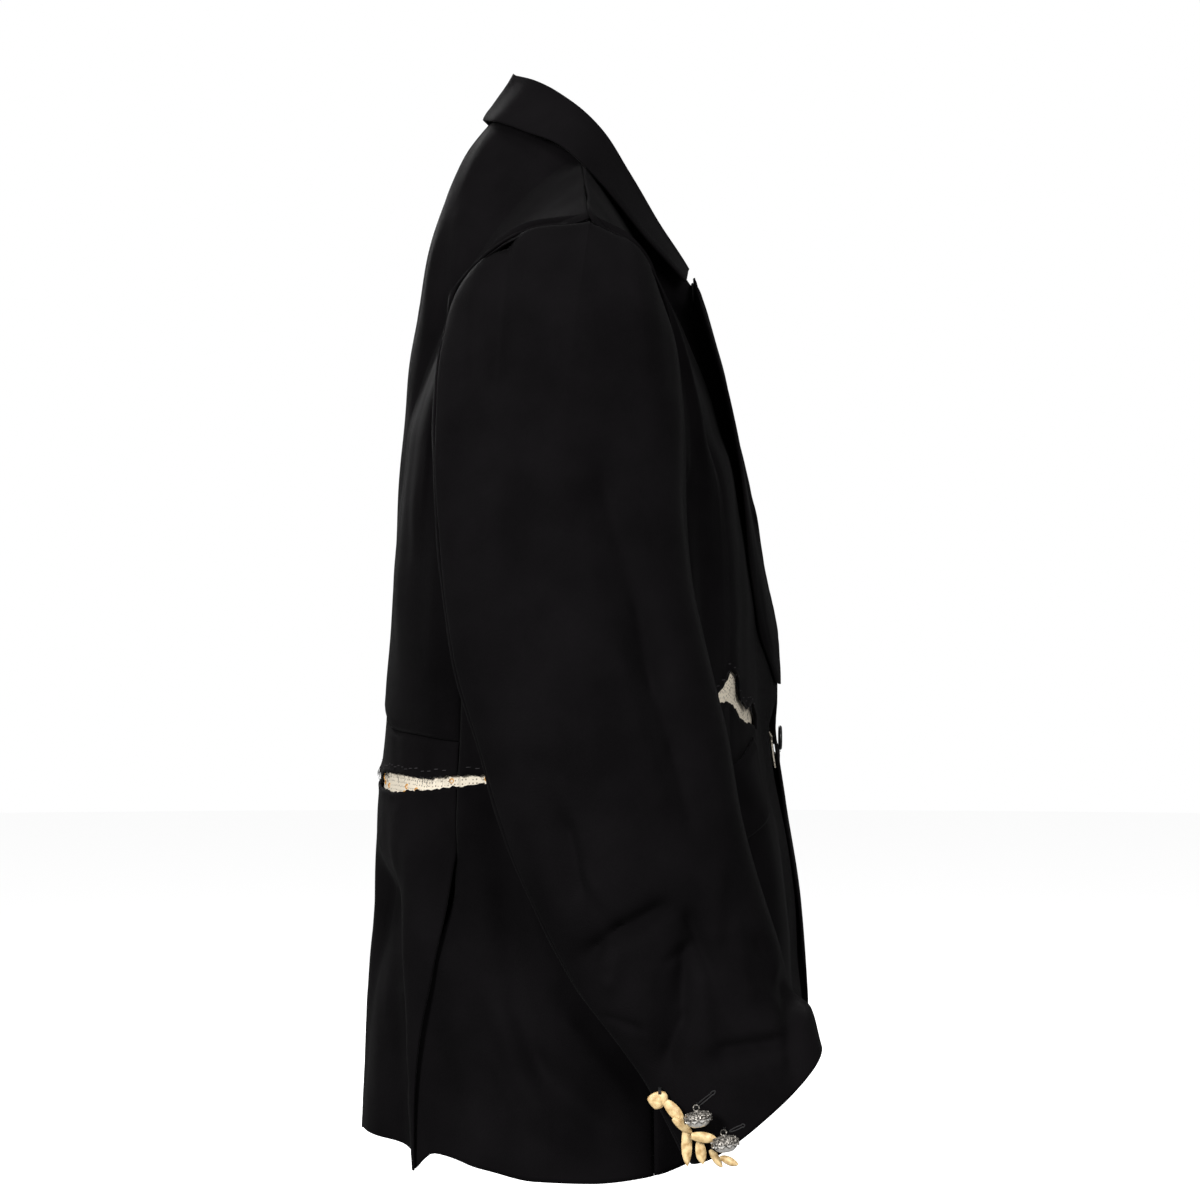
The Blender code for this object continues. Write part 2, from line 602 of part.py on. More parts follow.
def body_panels():
    """All the pieces of the body, each on both sides."""
    upper_back = back_upper()
    skirt, skirt_keep = back_skirt()
    side, side_keep = side_panel()
    right_front, right_keep = front_panel(FRONT_RIP, FRONT_TUCK)
    left_front, left_keep = front_panel(LEFT_RIP, 0.0)
    fronts = {"right": (right_front, right_keep), "left": (left_front, left_keep)}
    made = {}
    for hand in ("right", "left"):
        front, front_keep = fronts[hand]
        made["back_upper_" + hand] = cloth_piece("back_upper_" + hand, upper_back, side=hand)
        made["back_skirt_" + hand] = cloth_piece("back_skirt_" + hand, skirt, keep=skirt_keep,
                                                 side=hand)
        made["side_" + hand] = cloth_piece("side_" + hand, side, keep=side_keep, side=hand)
        made["front_" + hand] = cloth_piece("front_" + hand, front, keep=front_keep, side=hand)
    return made


# ---------------------------------------------------------------- eyelet cloth behind the rips
PATCH_SPARE = 9.0         # the cloth reaches this far past the torn edges
PATCH_DEPTH = 1.3         # its gap behind the wool


def patch(table, start, end, spacing):
    """A strip behind a rip, from the same columns of the same surface, on its inner side."""
    grid = []
    for turn in rip_turns(table, start, end, spacing):
        upper_z = straight(table, "turn", "upper", turn) + PATCH_SPARE
        lower_z = straight(table, "turn", "lower", turn) - PATCH_SPARE
        grid.append([section(turn, z) for z in spread(upper_z, lower_z, 4)])
    return folded(np.array(grid).transpose(1, 0, 2), BODY_FOLDS)


def under_cloth():
    """The cream cloth seen through the rips, behind the back and behind each front."""
    low, high = -PATCH_DEPTH - UNDER_CLOTH, -PATCH_DEPTH
    back = patch(BACK_RIP, 1.0, SIDE_BACK_SEAM - 0.3, 5)
    side = patch(SIDE_RIP, SIDE_BACK_SEAM + 0.3, 79, 5)
    fronts = {"right": patch(FRONT_RIP, 118, 156, FRONT_SPACING),
              "left": patch(LEFT_RIP, 118, 185, FRONT_SPACING)}
    for hand in ("right", "left"):
        cloth_piece("eyelet_back_" + hand, back, EYELET, low, high, side=hand)
        cloth_piece("eyelet_side_" + hand, side, EYELET, low, high, side=hand)
        cloth_piece("eyelet_front_" + hand, fronts[hand], EYELET, low, high, side=hand)


# ---------------------------------------------------------------- sleeves
def arm_section(around, along):
    """A point of the arm's tube: around in degrees, along from the bicep (0) to the cuff (1)."""
    angle = math.radians(around)
    row = {name: read(ARM, "along", name, along) for name in Arm._fields[1:]}
    front = np.array([row["fy"], row["fz"]])
    back = np.array([row["by"], row["bz"]])
    middle = (front + back) / 2
    reach = (front - back) / 2
    down = np.array([-reach[1], reach[0]])
    down = down / np.linalg.norm(down)
    if down[1] > 0:
        down = -down
    squash = (abs(math.cos(angle)) ** 2.3 + abs(math.sin(angle)) ** 2.3) ** (-1 / 2.3)
    side = math.cos(angle) * squash
    ahead = row["lead"] * (side if side > 0 else side * 0.4)
    flat = middle + reach * math.sin(angle) * squash + down * ahead
    return np.array([row["cx"] - row["thick"] * side, flat[0], flat[1]])


def sleeve_point(around, part):
    """A point of the sleeve: part 0 at the armhole, 1 at the bicep, 2 at the cuff."""
    turn = around % 360
    if part >= 1:
        return arm_section(turn, part - 1)
    loop, edge = (FRONT_ARMHOLE, FRONT_EDGE) if turn < 180 else (BACK_ARMHOLE, BACK_EDGE)
    place = edge_point(edge, read(loop, "around", "turn", turn))
    leave = unit(np.array([read(loop, "around", name, turn) for name in ("lx", "ly", "lz")]))
    start = place + leave * SLEEVE_START
    end = arm_section(turn, 0)
    arrive = unit(arm_section(turn, 0.04) - end) * max(start[2] - end[2], 12.0) * 1.1
    return hermite(start, leave * read(loop, "around", "pull", turn), end, arrive, part)


def sleeve_grid(start, end, count):
    """A stretch of the sleeve between two of its seams, with its folds on the outer side."""
    back = math.degrees(SLEEVE_SEAM_GAP / 2 / 50)
    turns = spread(start + back, end - back, count)
    parts = list(spread(0, 1, 7)) + list(spread(1, 2, 14))[1:]
    points = np.array([[sleeve_point(turn, part) for turn in turns] for part in parts])
    along = np.array([[sleeve_normal(turn, part) for turn in turns] for part in parts])
    heights = np.array([[fold_height(SLEEVE_FOLDS, p[1], p[2]) * outer_share(turn)
                         for turn, p in zip(turns, row)] for row in points])
    points = points + along * heights[:, :, None]
    return points, points - along * CLOTH


def sleeve_normal(turn, part):
    """The outward direction of the sleeve, the same on both sides of a seam."""
    around = sleeve_point(turn + 1.5, part) - sleeve_point(turn - 1.5, part)
    down = sleeve_point(turn, min(part + 0.03, 2)) - sleeve_point(turn, max(part - 0.03, 0))
    return unit(np.cross(down, around))


def outer_share(turn):
    """Folds belong to the outer side of the sleeve and fade out round its edges."""
    return step_up(math.cos(math.radians(turn)), -0.15, 0.35)


def sleeves():
    """The top sleeve and under sleeve of each arm."""
    made = {}
    top_outer, top_inner = sleeve_grid(BACK_SLEEVE_SEAM, 360 + FRONT_SLEEVE_SEAM, 15)
    low_outer, low_inner = sleeve_grid(FRONT_SLEEVE_SEAM, BACK_SLEEVE_SEAM, 9)
    for hand in ("right", "left"):
        turned_over = mirrored if hand == "left" else (lambda points: points)
        made["sleeve_top_" + hand] = wall("sleeve_top_" + hand, turned_over(top_outer),
                                          turned_over(top_inner), WOOL)
        made["sleeve_under_" + hand] = wall("sleeve_under_" + hand, turned_over(low_outer),
                                            turned_over(low_inner), WOOL)
    return made


# ---------------------------------------------------------------- collar and lapels
def tree_of(objects):
    """A search tree over the faces of some objects, in mm."""
    corners, faces = [], []
    for made in objects:
        first = len(corners)
        corners += [tuple(v.co / MM) for v in made.data.vertices]
        faces += [[first + index for index in face.vertices] for face in made.data.polygons]
    return BVHTree.FromPolygons(corners, faces)


def cleared(point, tree, gap, direction):
    """Move a point in a direction until it is a gap off the cloth behind it."""
    way = Vector(direction).normalized()
    start = Vector(point) + way * 40
    hit, _, _, distance = tree.ray_cast(start, -way, 40 + gap)
    if hit is None:
        return point
    return np.array(start - way * (distance - gap))


def lifted(points, tree, gap):
    """Move points forwards until they stand a gap clear of the cloth behind them.

    A point past the cloth's edge moves as far as the next one across.
    """
    forward = Vector((0.0, -1.0, 0.0))
    clear = points.copy()
    for row in range(points.shape[0]):
        moved = 0.0
        for col in reversed(range(points.shape[1])):
            start = Vector(points[row, col]) + forward * 60
            hit, _, _, distance = tree.ray_cast(start, -forward, 90)
            if hit is not None:
                moved = max(0.0, 60 - distance + gap)
            clear[row, col, 1] -= moved
    return clear


def collar_row(part, name_set):
    return np.array([read(COLLAR, "part", name, part) for name in name_set])


COLLAR_CLEAR = 1.6        # the fall stands this far off the cloth under it


def collar_half(steps=13):
    """Rows of the collar from its neck seam over the roll to its free edge."""
    rows = []
    for part in spread(0, 1, steps):
        seam = collar_row(part, ("sx", "sy", "sz"))
        roll = collar_row(part, ("rx", "ry", "rz"))
        free = collar_row(part, ("fx", "fy", "fz"))
        stand = [seam + (roll - seam) * share for share in (0.0, 0.5, 0.86)]
        swell = unit(np.array([roll[0], roll[1] * 0.3, 8.0])) if part else np.array([0, 0, 1.0])
        fall = [roll + swell * 1.2] + [roll + (free - roll) * share for share in (0.16, 0.44, 0.72, 1.0)]
        rows.append(stand + fall)
    return np.array(rows).transpose(1, 0, 2)


def collar(body):
    """The collar in one folded wall: stand, roll and fall, round the back of the neck."""
    right = collar_half()
    left = mirrored(right)
    points = np.concatenate([left[:, ::-1], right[:, 1:]], axis=1)
    tree = tree_of(body)
    along = normals(points)
    if along[-1, points.shape[1] // 2, 1] < 0:
        along = -along
    under = points.copy()
    for row in (4, 5, 6, 7):
        for col in range(points.shape[1]):
            under[row, col] = cleared(points[row, col], tree, COLLAR_CLEAR, along[row, col])
    return wall("collar", under + along * CLOTH, under, WOOL)


LAPEL_CLEAR = 2.6         # the least gap between a lapel and the front under it
ROLL_PAST = 1.0           # the roll turns under this far past the front's edge


def roll_edge(tree, side, height):
    """A front's edge near a height: x of its furthest reach, and its range in y there."""
    found = []
    for rise in (-9, -4, 0, 4, 9):
        for depth in np.arange(-165.0, -60.0, 1.5):
            start = Vector((side * 12.0, depth, height + rise))
            hit, _, _, _ = tree.ray_cast(start, Vector((-side, 0.0, 0.0)), 90)
            if hit is not None:
                found.append((side * hit[0], hit[1]))
    reach = max(found)[0]
    near = [y for x, y in found if x > reach - 3]
    return reach, max(near), min(near)


def lapel_points():
    """A grid of one lapel, from its roll to its free edge, with the notch in its top edge."""
    across = spread(0, 1, 7)
    keys = np.arange(len(LAPEL), dtype=float)
    grid = []
    for place in spread(0, len(LAPEL) - 1, 17):
        row = {name: smooth(keys, column(LAPEL, name), place) for name in Lapel._fields}
        roll = np.array([row["rx"], row["ry"], row["rz"]])
        free = np.array([row["ex"], row["ey"], row["ez"]])
        points = []
        for share in across:
            point = roll + (free - roll) * share
            point[1] -= row["stand"] * 4 * share * (1 - share)
            notch = max(0.0, 1 - abs(share - NOTCH_AT) / 0.34)
            point[2] -= NOTCH_DROP * notch * max(0.0, 1 - place / 2.5)
            points.append(point)
        grid.append(points)
    return np.array(grid)


def lapels(fronts):
    """The lapels, folded out over the fronts and clear of them."""
    for hand, front in fronts.items():
        side = -1.0 if hand == "left" else 1.0
        points = lapel_points() * np.array([side, 1.0, 1.0])
        tree = tree_of([front])
        under = lifted(points, tree, LAPEL_CLEAR)
        turn_under = []
        for row in range(len(under)):
            edge_x, edge_back, edge_front = roll_edge(tree, side, under[row, 0, 2])
            under[row, 0, 0] = side * (edge_x + ROLL_PAST)
            under[row, 0, 1] = min(under[row, 0, 1], edge_front - LAPEL_CLEAR)
            turn_under.append([(under[row, 0, 0], edge_back + 1.0, under[row, 0, 2])])
        over = under + np.array([0.0, -CLOTH, 0.0])
        over[:, 0, 0] += side * CLOTH * 0.8
        inset = np.array([side * CLOTH * 0.8, -CLOTH * 0.5, 0.0])
        under = np.concatenate([np.array(turn_under), under], axis=1)
        over = np.concatenate([np.array(turn_under) + inset, over], axis=1)
        wall("lapel_" + hand, over, under, WOOL)


# ---------------------------------------------------------------- pocket flaps
# turn: round the body, top and bottom: heights of the flap's edges there.
Flap = namedtuple("Flap", "turn top bottom")
FLAP = [Flap(116, -502, -556), Flap(118, -500, -560), Flap(124, -494, -556),
        Flap(132, -484, -546), Flap(140, -475, -536), Flap(144, -471, -530),
        Flap(145.5, -470, -520)]


FLAP_CLEAR = 2.2


def flaps():
    """A slanting flap over each pocket, made from the front's points moved out."""
    grid = []
    for turn in rip_turns(FLAP, 116, 145.5, 4):
        top = straight(FLAP, "turn", "top", turn)
        bottom = straight(FLAP, "turn", "bottom", turn)
        grid.append([section(turn, z) for z in spread(top, bottom, 6)])
    points = folded(np.array(grid).transpose(1, 0, 2), BODY_FOLDS)
    for hand in ("right", "left"):
        cloth_piece("flap_" + hand, points, low=CLOTH + FLAP_CLEAR,
                    high=2 * CLOTH + FLAP_CLEAR, side=hand)


# ---------------------------------------------------------------- buttons, beads and petals
def turned(name, profile, place, tilt, finish, steps=12):
    """A solid of revolution: profile is (radius, height) pairs from its bottom to its top."""
    mesh = bmesh.new()
    rings = []
    for radius, height in profile:
        ring = []
        for step in range(steps if radius > 0 else 1):
            angle = 2 * math.pi * step / steps
            ring.append(mesh.verts.new((radius * math.cos(angle) * MM,
                                        radius * math.sin(angle) * MM, height * MM)))
        rings.append(ring)
    for low, high in zip(rings[:-1], rings[1:]):
        for step in range(steps):
            following = (step + 1) % steps
            corners = [low[step % len(low)], low[following % len(low)],
                       high[following % len(high)], high[step % len(high)]]
            mesh.faces.new(list(dict.fromkeys(corners)))
    bmesh.ops.transform(mesh, matrix=Matrix.Translation(Vector(place) * MM) @ tilt,
                        verts=mesh.verts)
    return add_object(name, mesh, finish)


# A silver bead: a shallow bowl under a narrower filigree shoulder.
BEAD = [(0, -6.2), (4.6, -5.6), (8.2, -3.4), (9.8, -0.6), (9.4, 1.4), (7.6, 3.0), (6.6, 4.6),
        (3.0, 5.6), (0, 5.9)]
# y, z: middle of each piece in the side view.
Trim = namedtuple("Trim", "name y z")
BEADS = [Trim("bead_upper", -84.0, -729.0), Trim("bead_lower", -103.0, -746.0)]
BONE_BUTTON = Trim("bone_button", -56.0, -718.5)
# long, wide: size of a petal; lean: degrees of its length from straight down towards the front;
# out: how far it stands off the sleeve.
Petal = namedtuple("Petal", "name y z long wide lean out")
PETALS = [
    Petal("petal_1", -68.0, -726.0, 19, 8.5, 46, 2.0),
    Petal("petal_2", -73.5, -735.5, 17, 6.5, 58, 5.0),
    Petal("petal_3", -76.5, -750.5, 27, 7.5, 4, 2.4),
    Petal("petal_4", -88.5, -743.0, 18, 7.5, 88, 6.0),
    Petal("petal_5", -86.5, -754.5, 16, 7.5, 14, 3.4),
    Petal("petal_6", -97.0, -758.5, 15, 5.5, 40, 2.2),
    Petal("petal_7", -106.0, -759.5, 14, 6.0, 72, 6.0),
]
PETAL_THICK = 1.5


def sleeve_side(tree, y, z, reach):
    """How far out the sleeve's outer face stands within a reach of a place of the side view."""
    found = []
    for step in range(16):
        angle = 2 * math.pi * step / 16
        for share in (0.0, 0.5, 1.0):
            start = Vector((-400.0, y + reach * share * math.cos(angle),
                            z + reach * share * math.sin(angle)))
            hit, _, _, _ = tree.ray_cast(start, Vector((1.0, 0.0, 0.0)))
            if hit is not None:
                found.append(hit[0])
    return min(found)


def petal_grid(petal, base):
    """A leaf of bone: pointed at both ends, crowned along its middle."""
    lean = math.radians(petal.lean)
    down = np.array([0.0, -math.sin(lean), -math.cos(lean)])
    across = np.array([0.0, math.cos(lean), -math.sin(lean)])
    rows = []
    for part in (-1.0, -0.62, -0.15, 0.4, 1.0):
        half = petal.wide / 2 * max(0.10, (1 - abs(part) ** 1.8)) ** 0.8
        row = []
        for side in (-1, 0, 1):
            crown = 1.1 * (1 - side * side) * (1 - part * part)
            point = np.array([base, petal.y, petal.z]) + down * petal.long / 2 * part
            point = point + across * half * side
            point[0] -= petal.out + crown
            row.append(point)
        rows.append(row)
    return np.array(rows)


def shield(name, place, finish):
    """The bone button at the back of the cuff: a rounded shield, domed outwards."""
    rings = []
    for scale, out in ((1.0, 0.0), (1.0, 2.6), (0.82, 4.0), (0.4, 4.6)):
        ring = []
        for step in range(20):
            angle = 2 * math.pi * step / 20
            wide, tall = 7.9 * math.sin(angle), 6.9 * math.cos(angle)
            squared = (abs(math.sin(angle)) ** 3 + abs(math.cos(angle)) ** 3) ** (-1 / 3)
            ring.append(np.array([place[0] - out, place[1] - wide * squared * scale * 0.96,
                                  place[2] + tall * squared * scale * 0.96]))
        rings.append(ring)
    mesh = bmesh.new()
    made = [[mesh.verts.new(point * MM) for point in ring] for ring in rings]
    for low, high in zip(made[:-1], made[1:]):
        for step in range(20):
            following = (step + 1) % 20
            mesh.faces.new([low[step], low[following], high[following], high[step]])
    mesh.faces.new(made[0])
    mesh.faces.new(made[-1])
    return add_object(name, mesh, finish)


def cuff_trim(tops):
    """The bone button, silver beads and bone petals on each cuff."""
    tree = tree_of([tops["right"]])
    for hand in ("right", "left"):
        sign = 1.0 if hand == "right" else -1.0
        for bead in BEADS:
            base = sleeve_side(tree, bead.y, bead.z, 10)
            tilt = Matrix.Rotation(math.radians(-9.0), 4, "X")
            turned(f"{bead.name}_{hand}", BEAD, (sign * (base - 11.5), bead.y, bead.z), tilt,
                   SILVER)
        base = sleeve_side(tree, BONE_BUTTON.y, BONE_BUTTON.z, 9)
        button = shield("bone_button_" + hand, (base - 0.6, BONE_BUTTON.y, BONE_BUTTON.z), BONE)
        if hand == "left":
            flip(button)
        for petal in PETALS:
            base = sleeve_side(tree, petal.y, petal.z, petal.long / 2)
            points = petal_grid(petal, base)
            over = points - np.array([PETAL_THICK, 0.0, 0.0])
            if hand == "left":
                points, over = mirrored(points), mirrored(over)
            wall(f"{petal.name}_{hand}", over, points, BONE)


def flip(made):
    """Mirror an object's mesh to the other side of the body."""
    mesh = bmesh.new()
    mesh.from_mesh(made.data)
    bmesh.ops.scale(mesh, vec=(-1.0, 1.0, 1.0), verts=mesh.verts)
    bmesh.ops.recalc_face_normals(mesh, faces=mesh.faces)
    mesh.to_mesh(made.data)
    mesh.free()


BUTTON_CLEAR = 2.0        # the closing button stands this far off the front
FRONT_BUTTON = [(0, 0), (8.5, 0), (9.5, 0.8), (9.5, 1.8), (8.6, 2.6), (0, 2.2)]


def front_button():
    """The one button that closes the front, on the left front at the bottom of the lapels."""
    place = section(181.0, -474.0) + np.array([0.0, -CLOTH - BUTTON_CLEAR, 0.0])
    tilt = Matrix.Rotation(math.radians(90.0), 4, "X")
    turned("front_button", FRONT_BUTTON, tuple(place), tilt, HORN)


def build():
    """Build the whole jacket."""
    for made in list(bpy.data.objects):
        bpy.data.objects.remove(made, do_unlink=True)
    panels = body_panels()
    under_cloth()
    arms = sleeves()
    collar([panels[name] for name in panels if name.startswith(("back_upper", "front"))])
    lapels({hand: panels["front_" + hand] for hand in ("right", "left")})
    flaps()
    cuff_trim({hand: arms["sleeve_top_" + hand] for hand in ("right", "left")})
    front_button()


build()
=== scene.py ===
# %% [markdown]
# # A torn black blazer
# The frame is a simple solid model of the jacket: each cut piece is a thin wall in its right
# place. Here each wall is dressed again as finer cloth on the same form, with the creases, seams,
# torn threads, stitches and trim that the solids leave out. The tables of sizes are those of the
# solids, in millimetres.

# %% Load the frame
import json
import math
import random
from collections import namedtuple

import bmesh
import bpy
import numpy as np
from mathutils import Matrix, Vector
from mathutils.bvhtree import BVHTree

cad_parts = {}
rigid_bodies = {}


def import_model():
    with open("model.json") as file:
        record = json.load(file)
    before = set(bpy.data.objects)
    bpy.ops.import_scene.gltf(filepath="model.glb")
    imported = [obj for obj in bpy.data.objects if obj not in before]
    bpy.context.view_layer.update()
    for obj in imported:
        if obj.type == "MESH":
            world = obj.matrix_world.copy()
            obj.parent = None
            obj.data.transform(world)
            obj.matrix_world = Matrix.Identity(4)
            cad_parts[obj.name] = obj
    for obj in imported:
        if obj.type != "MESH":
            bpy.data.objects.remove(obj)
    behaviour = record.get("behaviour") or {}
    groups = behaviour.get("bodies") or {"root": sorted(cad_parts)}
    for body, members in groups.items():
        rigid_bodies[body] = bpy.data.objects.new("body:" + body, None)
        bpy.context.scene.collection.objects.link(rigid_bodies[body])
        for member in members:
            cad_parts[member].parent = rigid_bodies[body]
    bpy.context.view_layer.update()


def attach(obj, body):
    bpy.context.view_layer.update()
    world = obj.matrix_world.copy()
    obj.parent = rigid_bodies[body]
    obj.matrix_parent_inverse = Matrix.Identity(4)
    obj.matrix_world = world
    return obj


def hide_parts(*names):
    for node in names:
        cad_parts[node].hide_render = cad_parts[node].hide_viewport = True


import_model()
MM = 0.001

# %% [markdown]
# ## Camera, light and floor
# The photograph looks square at the jacket's right side from about three metres. A long lens
# there keeps the near sleeve and the far front in proportion. Two soft lights stand on the
# camera's side and leave the front in shade, as black cloth needs to show its form. A weak one
# hangs overhead, and another lights the far side, for the views from behind.

# %% Camera
PIXEL = 0.78                       # mm of the middle plane to one pixel of the photograph
CAMERA_AWAY = 3000.0               # mm
FRAME_WIDE = 1200 * PIXEL
CAMERA_Y, CAMERA_Z = -15.6, -366.6
camera_data = bpy.data.cameras.new("camera")
camera_data.sensor_width = 36.0
camera_data.lens = 36.0 * CAMERA_AWAY / FRAME_WIDE
camera = bpy.data.objects.new("camera", camera_data)
camera.location = (-CAMERA_AWAY * MM, CAMERA_Y * MM, CAMERA_Z * MM)
camera.rotation_euler = (math.radians(90), 0.0, math.radians(-90))
bpy.context.scene.collection.objects.link(camera)
bpy.context.scene.camera = camera
print("lens", round(camera_data.lens, 1), "mm")


# %% Lights
def soft_light(name, place, aim, size, watts):
    """A square studio light that points at a place."""
    data = bpy.data.lights.new(name, "AREA")
    data.energy = watts
    data.size = size
    light = bpy.data.objects.new(name, data)
    light.location = place
    light.rotation_euler = (Vector(aim) - Vector(place)).to_track_quat("-Z", "Y").to_euler()
    bpy.context.scene.collection.objects.link(light)
    return light


soft_light("key_back", (-2.7, 1.8, 0.5), (0.0, 0.0, -0.4), 0.9, 105)
soft_light("key_front", (-3.0, -0.9, 0.5), (0.0, 0.0, -0.4), 0.8, 60)
soft_light("top", (-0.6, 0.2, 2.4), (0.0, 0.0, -0.2), 1.2, 30)
soft_light("far_side", (3.0, 0.8, 1.0), (0.0, 0.0, -0.4), 1.2, 60)

# %% Floor and surroundings
FLOOR_LEVEL = -1.02
floor_mesh = bmesh.new()
bmesh.ops.create_circle(floor_mesh, cap_ends=True, segments=96, radius=9.0)
bmesh.ops.translate(floor_mesh, vec=(0, 0, FLOOR_LEVEL), verts=floor_mesh.verts)
floor_data = bpy.data.meshes.new("floor")
floor_mesh.to_mesh(floor_data)
floor_mesh.free()
floor = bpy.data.objects.new("floor", floor_data)
bpy.context.scene.collection.objects.link(floor)
floor_finish = bpy.data.materials.new("floor")
floor_finish.use_nodes = True
floor_shader = floor_finish.node_tree.nodes["Principled BSDF"]
floor_shader.inputs["Base Color"].default_value = (0.9, 0.9, 0.9, 1)
floor_shader.inputs["Roughness"].default_value = 0.9
floor_shader.inputs["Emission Color"].default_value = (1, 1, 1, 1)
floor_shader.inputs["Emission Strength"].default_value = 0.75
floor_data.materials.append(floor_finish)
floor.visible_diffuse = False
floor.visible_glossy = False

world = bpy.data.worlds.new("studio")
world.use_nodes = True
sky = world.node_tree
plain = sky.nodes["Background"]
plain.inputs["Color"].default_value = (1, 1, 1, 1)
plain.inputs["Strength"].default_value = 0.22
backdrop = sky.nodes.new("ShaderNodeBackground")
backdrop.inputs["Color"].default_value = (1, 1, 1, 1)
seen = sky.nodes.new("ShaderNodeLightPath")
either = sky.nodes.new("ShaderNodeMixShader")
sky.links.new(seen.outputs["Is Camera Ray"], either.inputs[0])
sky.links.new(plain.outputs[0], either.inputs[1])
sky.links.new(backdrop.outputs[0], either.inputs[2])
sky.links.new(either.outputs[0], sky.nodes["World Output"].inputs["Surface"])
bpy.context.scene.world = world
bpy.context.scene.view_settings.view_transform = "Standard"
print("floor at", FLOOR_LEVEL)

# %% [markdown]
# ## The sizes of the jacket
# A turn is a number of degrees round the body: 0 is the centre back, 90 the jacket's right side
# and 180 the centre front. These are the tables that the solids are made from, so that each
# finer cloth lies where its wall does. The left side is the right one mirrored.

# %% Tables of the body
CLOTH, SEAM_GAP, SLEEVE_SEAM_GAP = 1.6, 0.5, 0.7
CHEST_LEVEL, SIDE_BACK_SEAM, SIDE_FRONT_SEAM, LAP = -345.0, 64.0, 104.0, 6.5
VENT_TOP, KEEL_WIDTH, UNDERLAP_DEPTH, FRONT_TUCK = -556.0, 46.0, 11.0, 5.0
Body = namedtuple("Body", "z half back chest keel square")
BODY = [
    Body(-345, 190, 142, 127, 13, 3.0),
    Body(-400, 191, 145, 130, 22, 3.0),
    Body(-445, 193, 147, 132, 20, 2.9),
    Body(-470, 195, 149, 134, 17, 2.8),
    Body(-523, 201, 154, 143, 16, 2.7),
    Body(-601, 211, 158, 156, 15, 2.5),
    Body(-679, 220, 164, 162, 14, 2.4),
    Body(-790, 227, 169, 166, 12, 2.3),
]
# lx ly lz: the direction in which the cloth leaves the edge, pull: the length of that tangent.
Edge = namedtuple("Edge", "turn x y z lx ly lz pull")
BACK_EDGE = [
    Edge(0, 0, 62, 12, 0.0, 0.76, -0.65, 280),
    Edge(8, -35, 52, 4, -0.10, 0.76, -0.65, 280),
    Edge(14, -62, 26, -14, -0.10, 0.81, -0.58, 290),
    Edge(19, -76, 0, -31, -0.05, 0.88, -0.47, 325),
    Edge(28, -118, -3, -48, 0.0, 0.90, -0.43, 320),
    Edge(39, -176, -5, -70, 0.05, 0.93, -0.36, 340),
    Edge(50, -235, -8, -93, 0.05, 0.97, -0.25, 360),
    Edge(53, -231, 32, -98, 0.35, 0.85, -0.38, 230),
    Edge(55.5, -222, 62, -113, 0.55, 0.65, -0.52, 170),
    Edge(58, -206, 86, -146, 0.55, 0.42, -0.72, 150),
    Edge(61, -196, 94, -200, 0.40, 0.15, -0.90, 130),
    Edge(64, -190, 88, -260, 0.18, 0.0, -0.98, 85),
    Edge(73, -186, 58, -318, 0.02, 0.0, -1.0, 27),
    Edge(88, -188, 5, -342, 0.0, 0.0, -1.0, 3),
]
FRONT_EDGE = [
    Edge(88, -188, 5, -342, 0.0, 0.0, -1.0, 3),
    Edge(104, -190, -50, -318, 0.0, 0.0, -1.0, 27),
    Edge(112, -196, -70, -262, 0.20, -0.05, -0.98, 85),
    Edge(117, -205, -68, -215, 0.50, -0.20, -0.84, 130),
    Edge(120, -216, -63, -165, 0.62, -0.25, -0.74, 175),
    Edge(123, -226, -54, -130, 0.50, -0.45, -0.74, 200),
    Edge(125.5, -232, -36, -108, 0.35, -0.58, -0.74, 230),
    Edge(128, -235, -8, -93, 0.10, -0.70, -0.70, 260),
    Edge(139, -176, -5, -70, 0.05, -0.66, -0.75, 270),
    Edge(150, -118, -3, -48, 0.02, -0.64, -0.77, 280),
    Edge(157, -76, 0, -33, 0.0, -0.62, -0.78, 290),
    Edge(161.5, -72, -42, -76, 0.0, -0.55, -0.83, 230),
    Edge(165.5, -57, -82, -124, 0.0, -0.32, -0.95, 200),
    Edge(168.5, -44, -99, -172, 0.0, -0.30, -0.95, 170),
    Edge(171, -38, -113, -232, 0.0, -0.42, -0.90, 110),
    Edge(172.2, -35, -123.5, -265, 0.0, -0.44, -0.9, 78),
    Edge(173.2, -32, -133, -297, 0.0, -0.45, -0.89, 48),
]
Level = namedtuple("Level", "turn z")
ROLL = [Level(173.2, -297), Level(175.2, -352), Level(177.0, -405), Level(178.6, -446),
        Level(180.0, -466), Level(183.0, -471), Level(188.0, -474)]
HEM = [Level(0, -778), Level(20, -769), Level(38, -770), Level(49, -776), Level(55, -786),
       Level(61, -772), Level(72, -779), Level(82, -787), Level(92, -788),
       Level(104, -783), Level(112, -774), Level(120, -765), Level(130, -755), Level(140, -745),
       Level(150, -735), Level(160, -723), Level(168, -711), Level(174, -700), Level(180, -682),
       Level(184, -660), Level(188, -632)]
WAIST_SEAM = [Level(0, -438), Level(12, -444), Level(24, -455), Level(38, -464),
              Level(52, -467), Level(64, -471)]
print(len(BODY), "sections of the body")

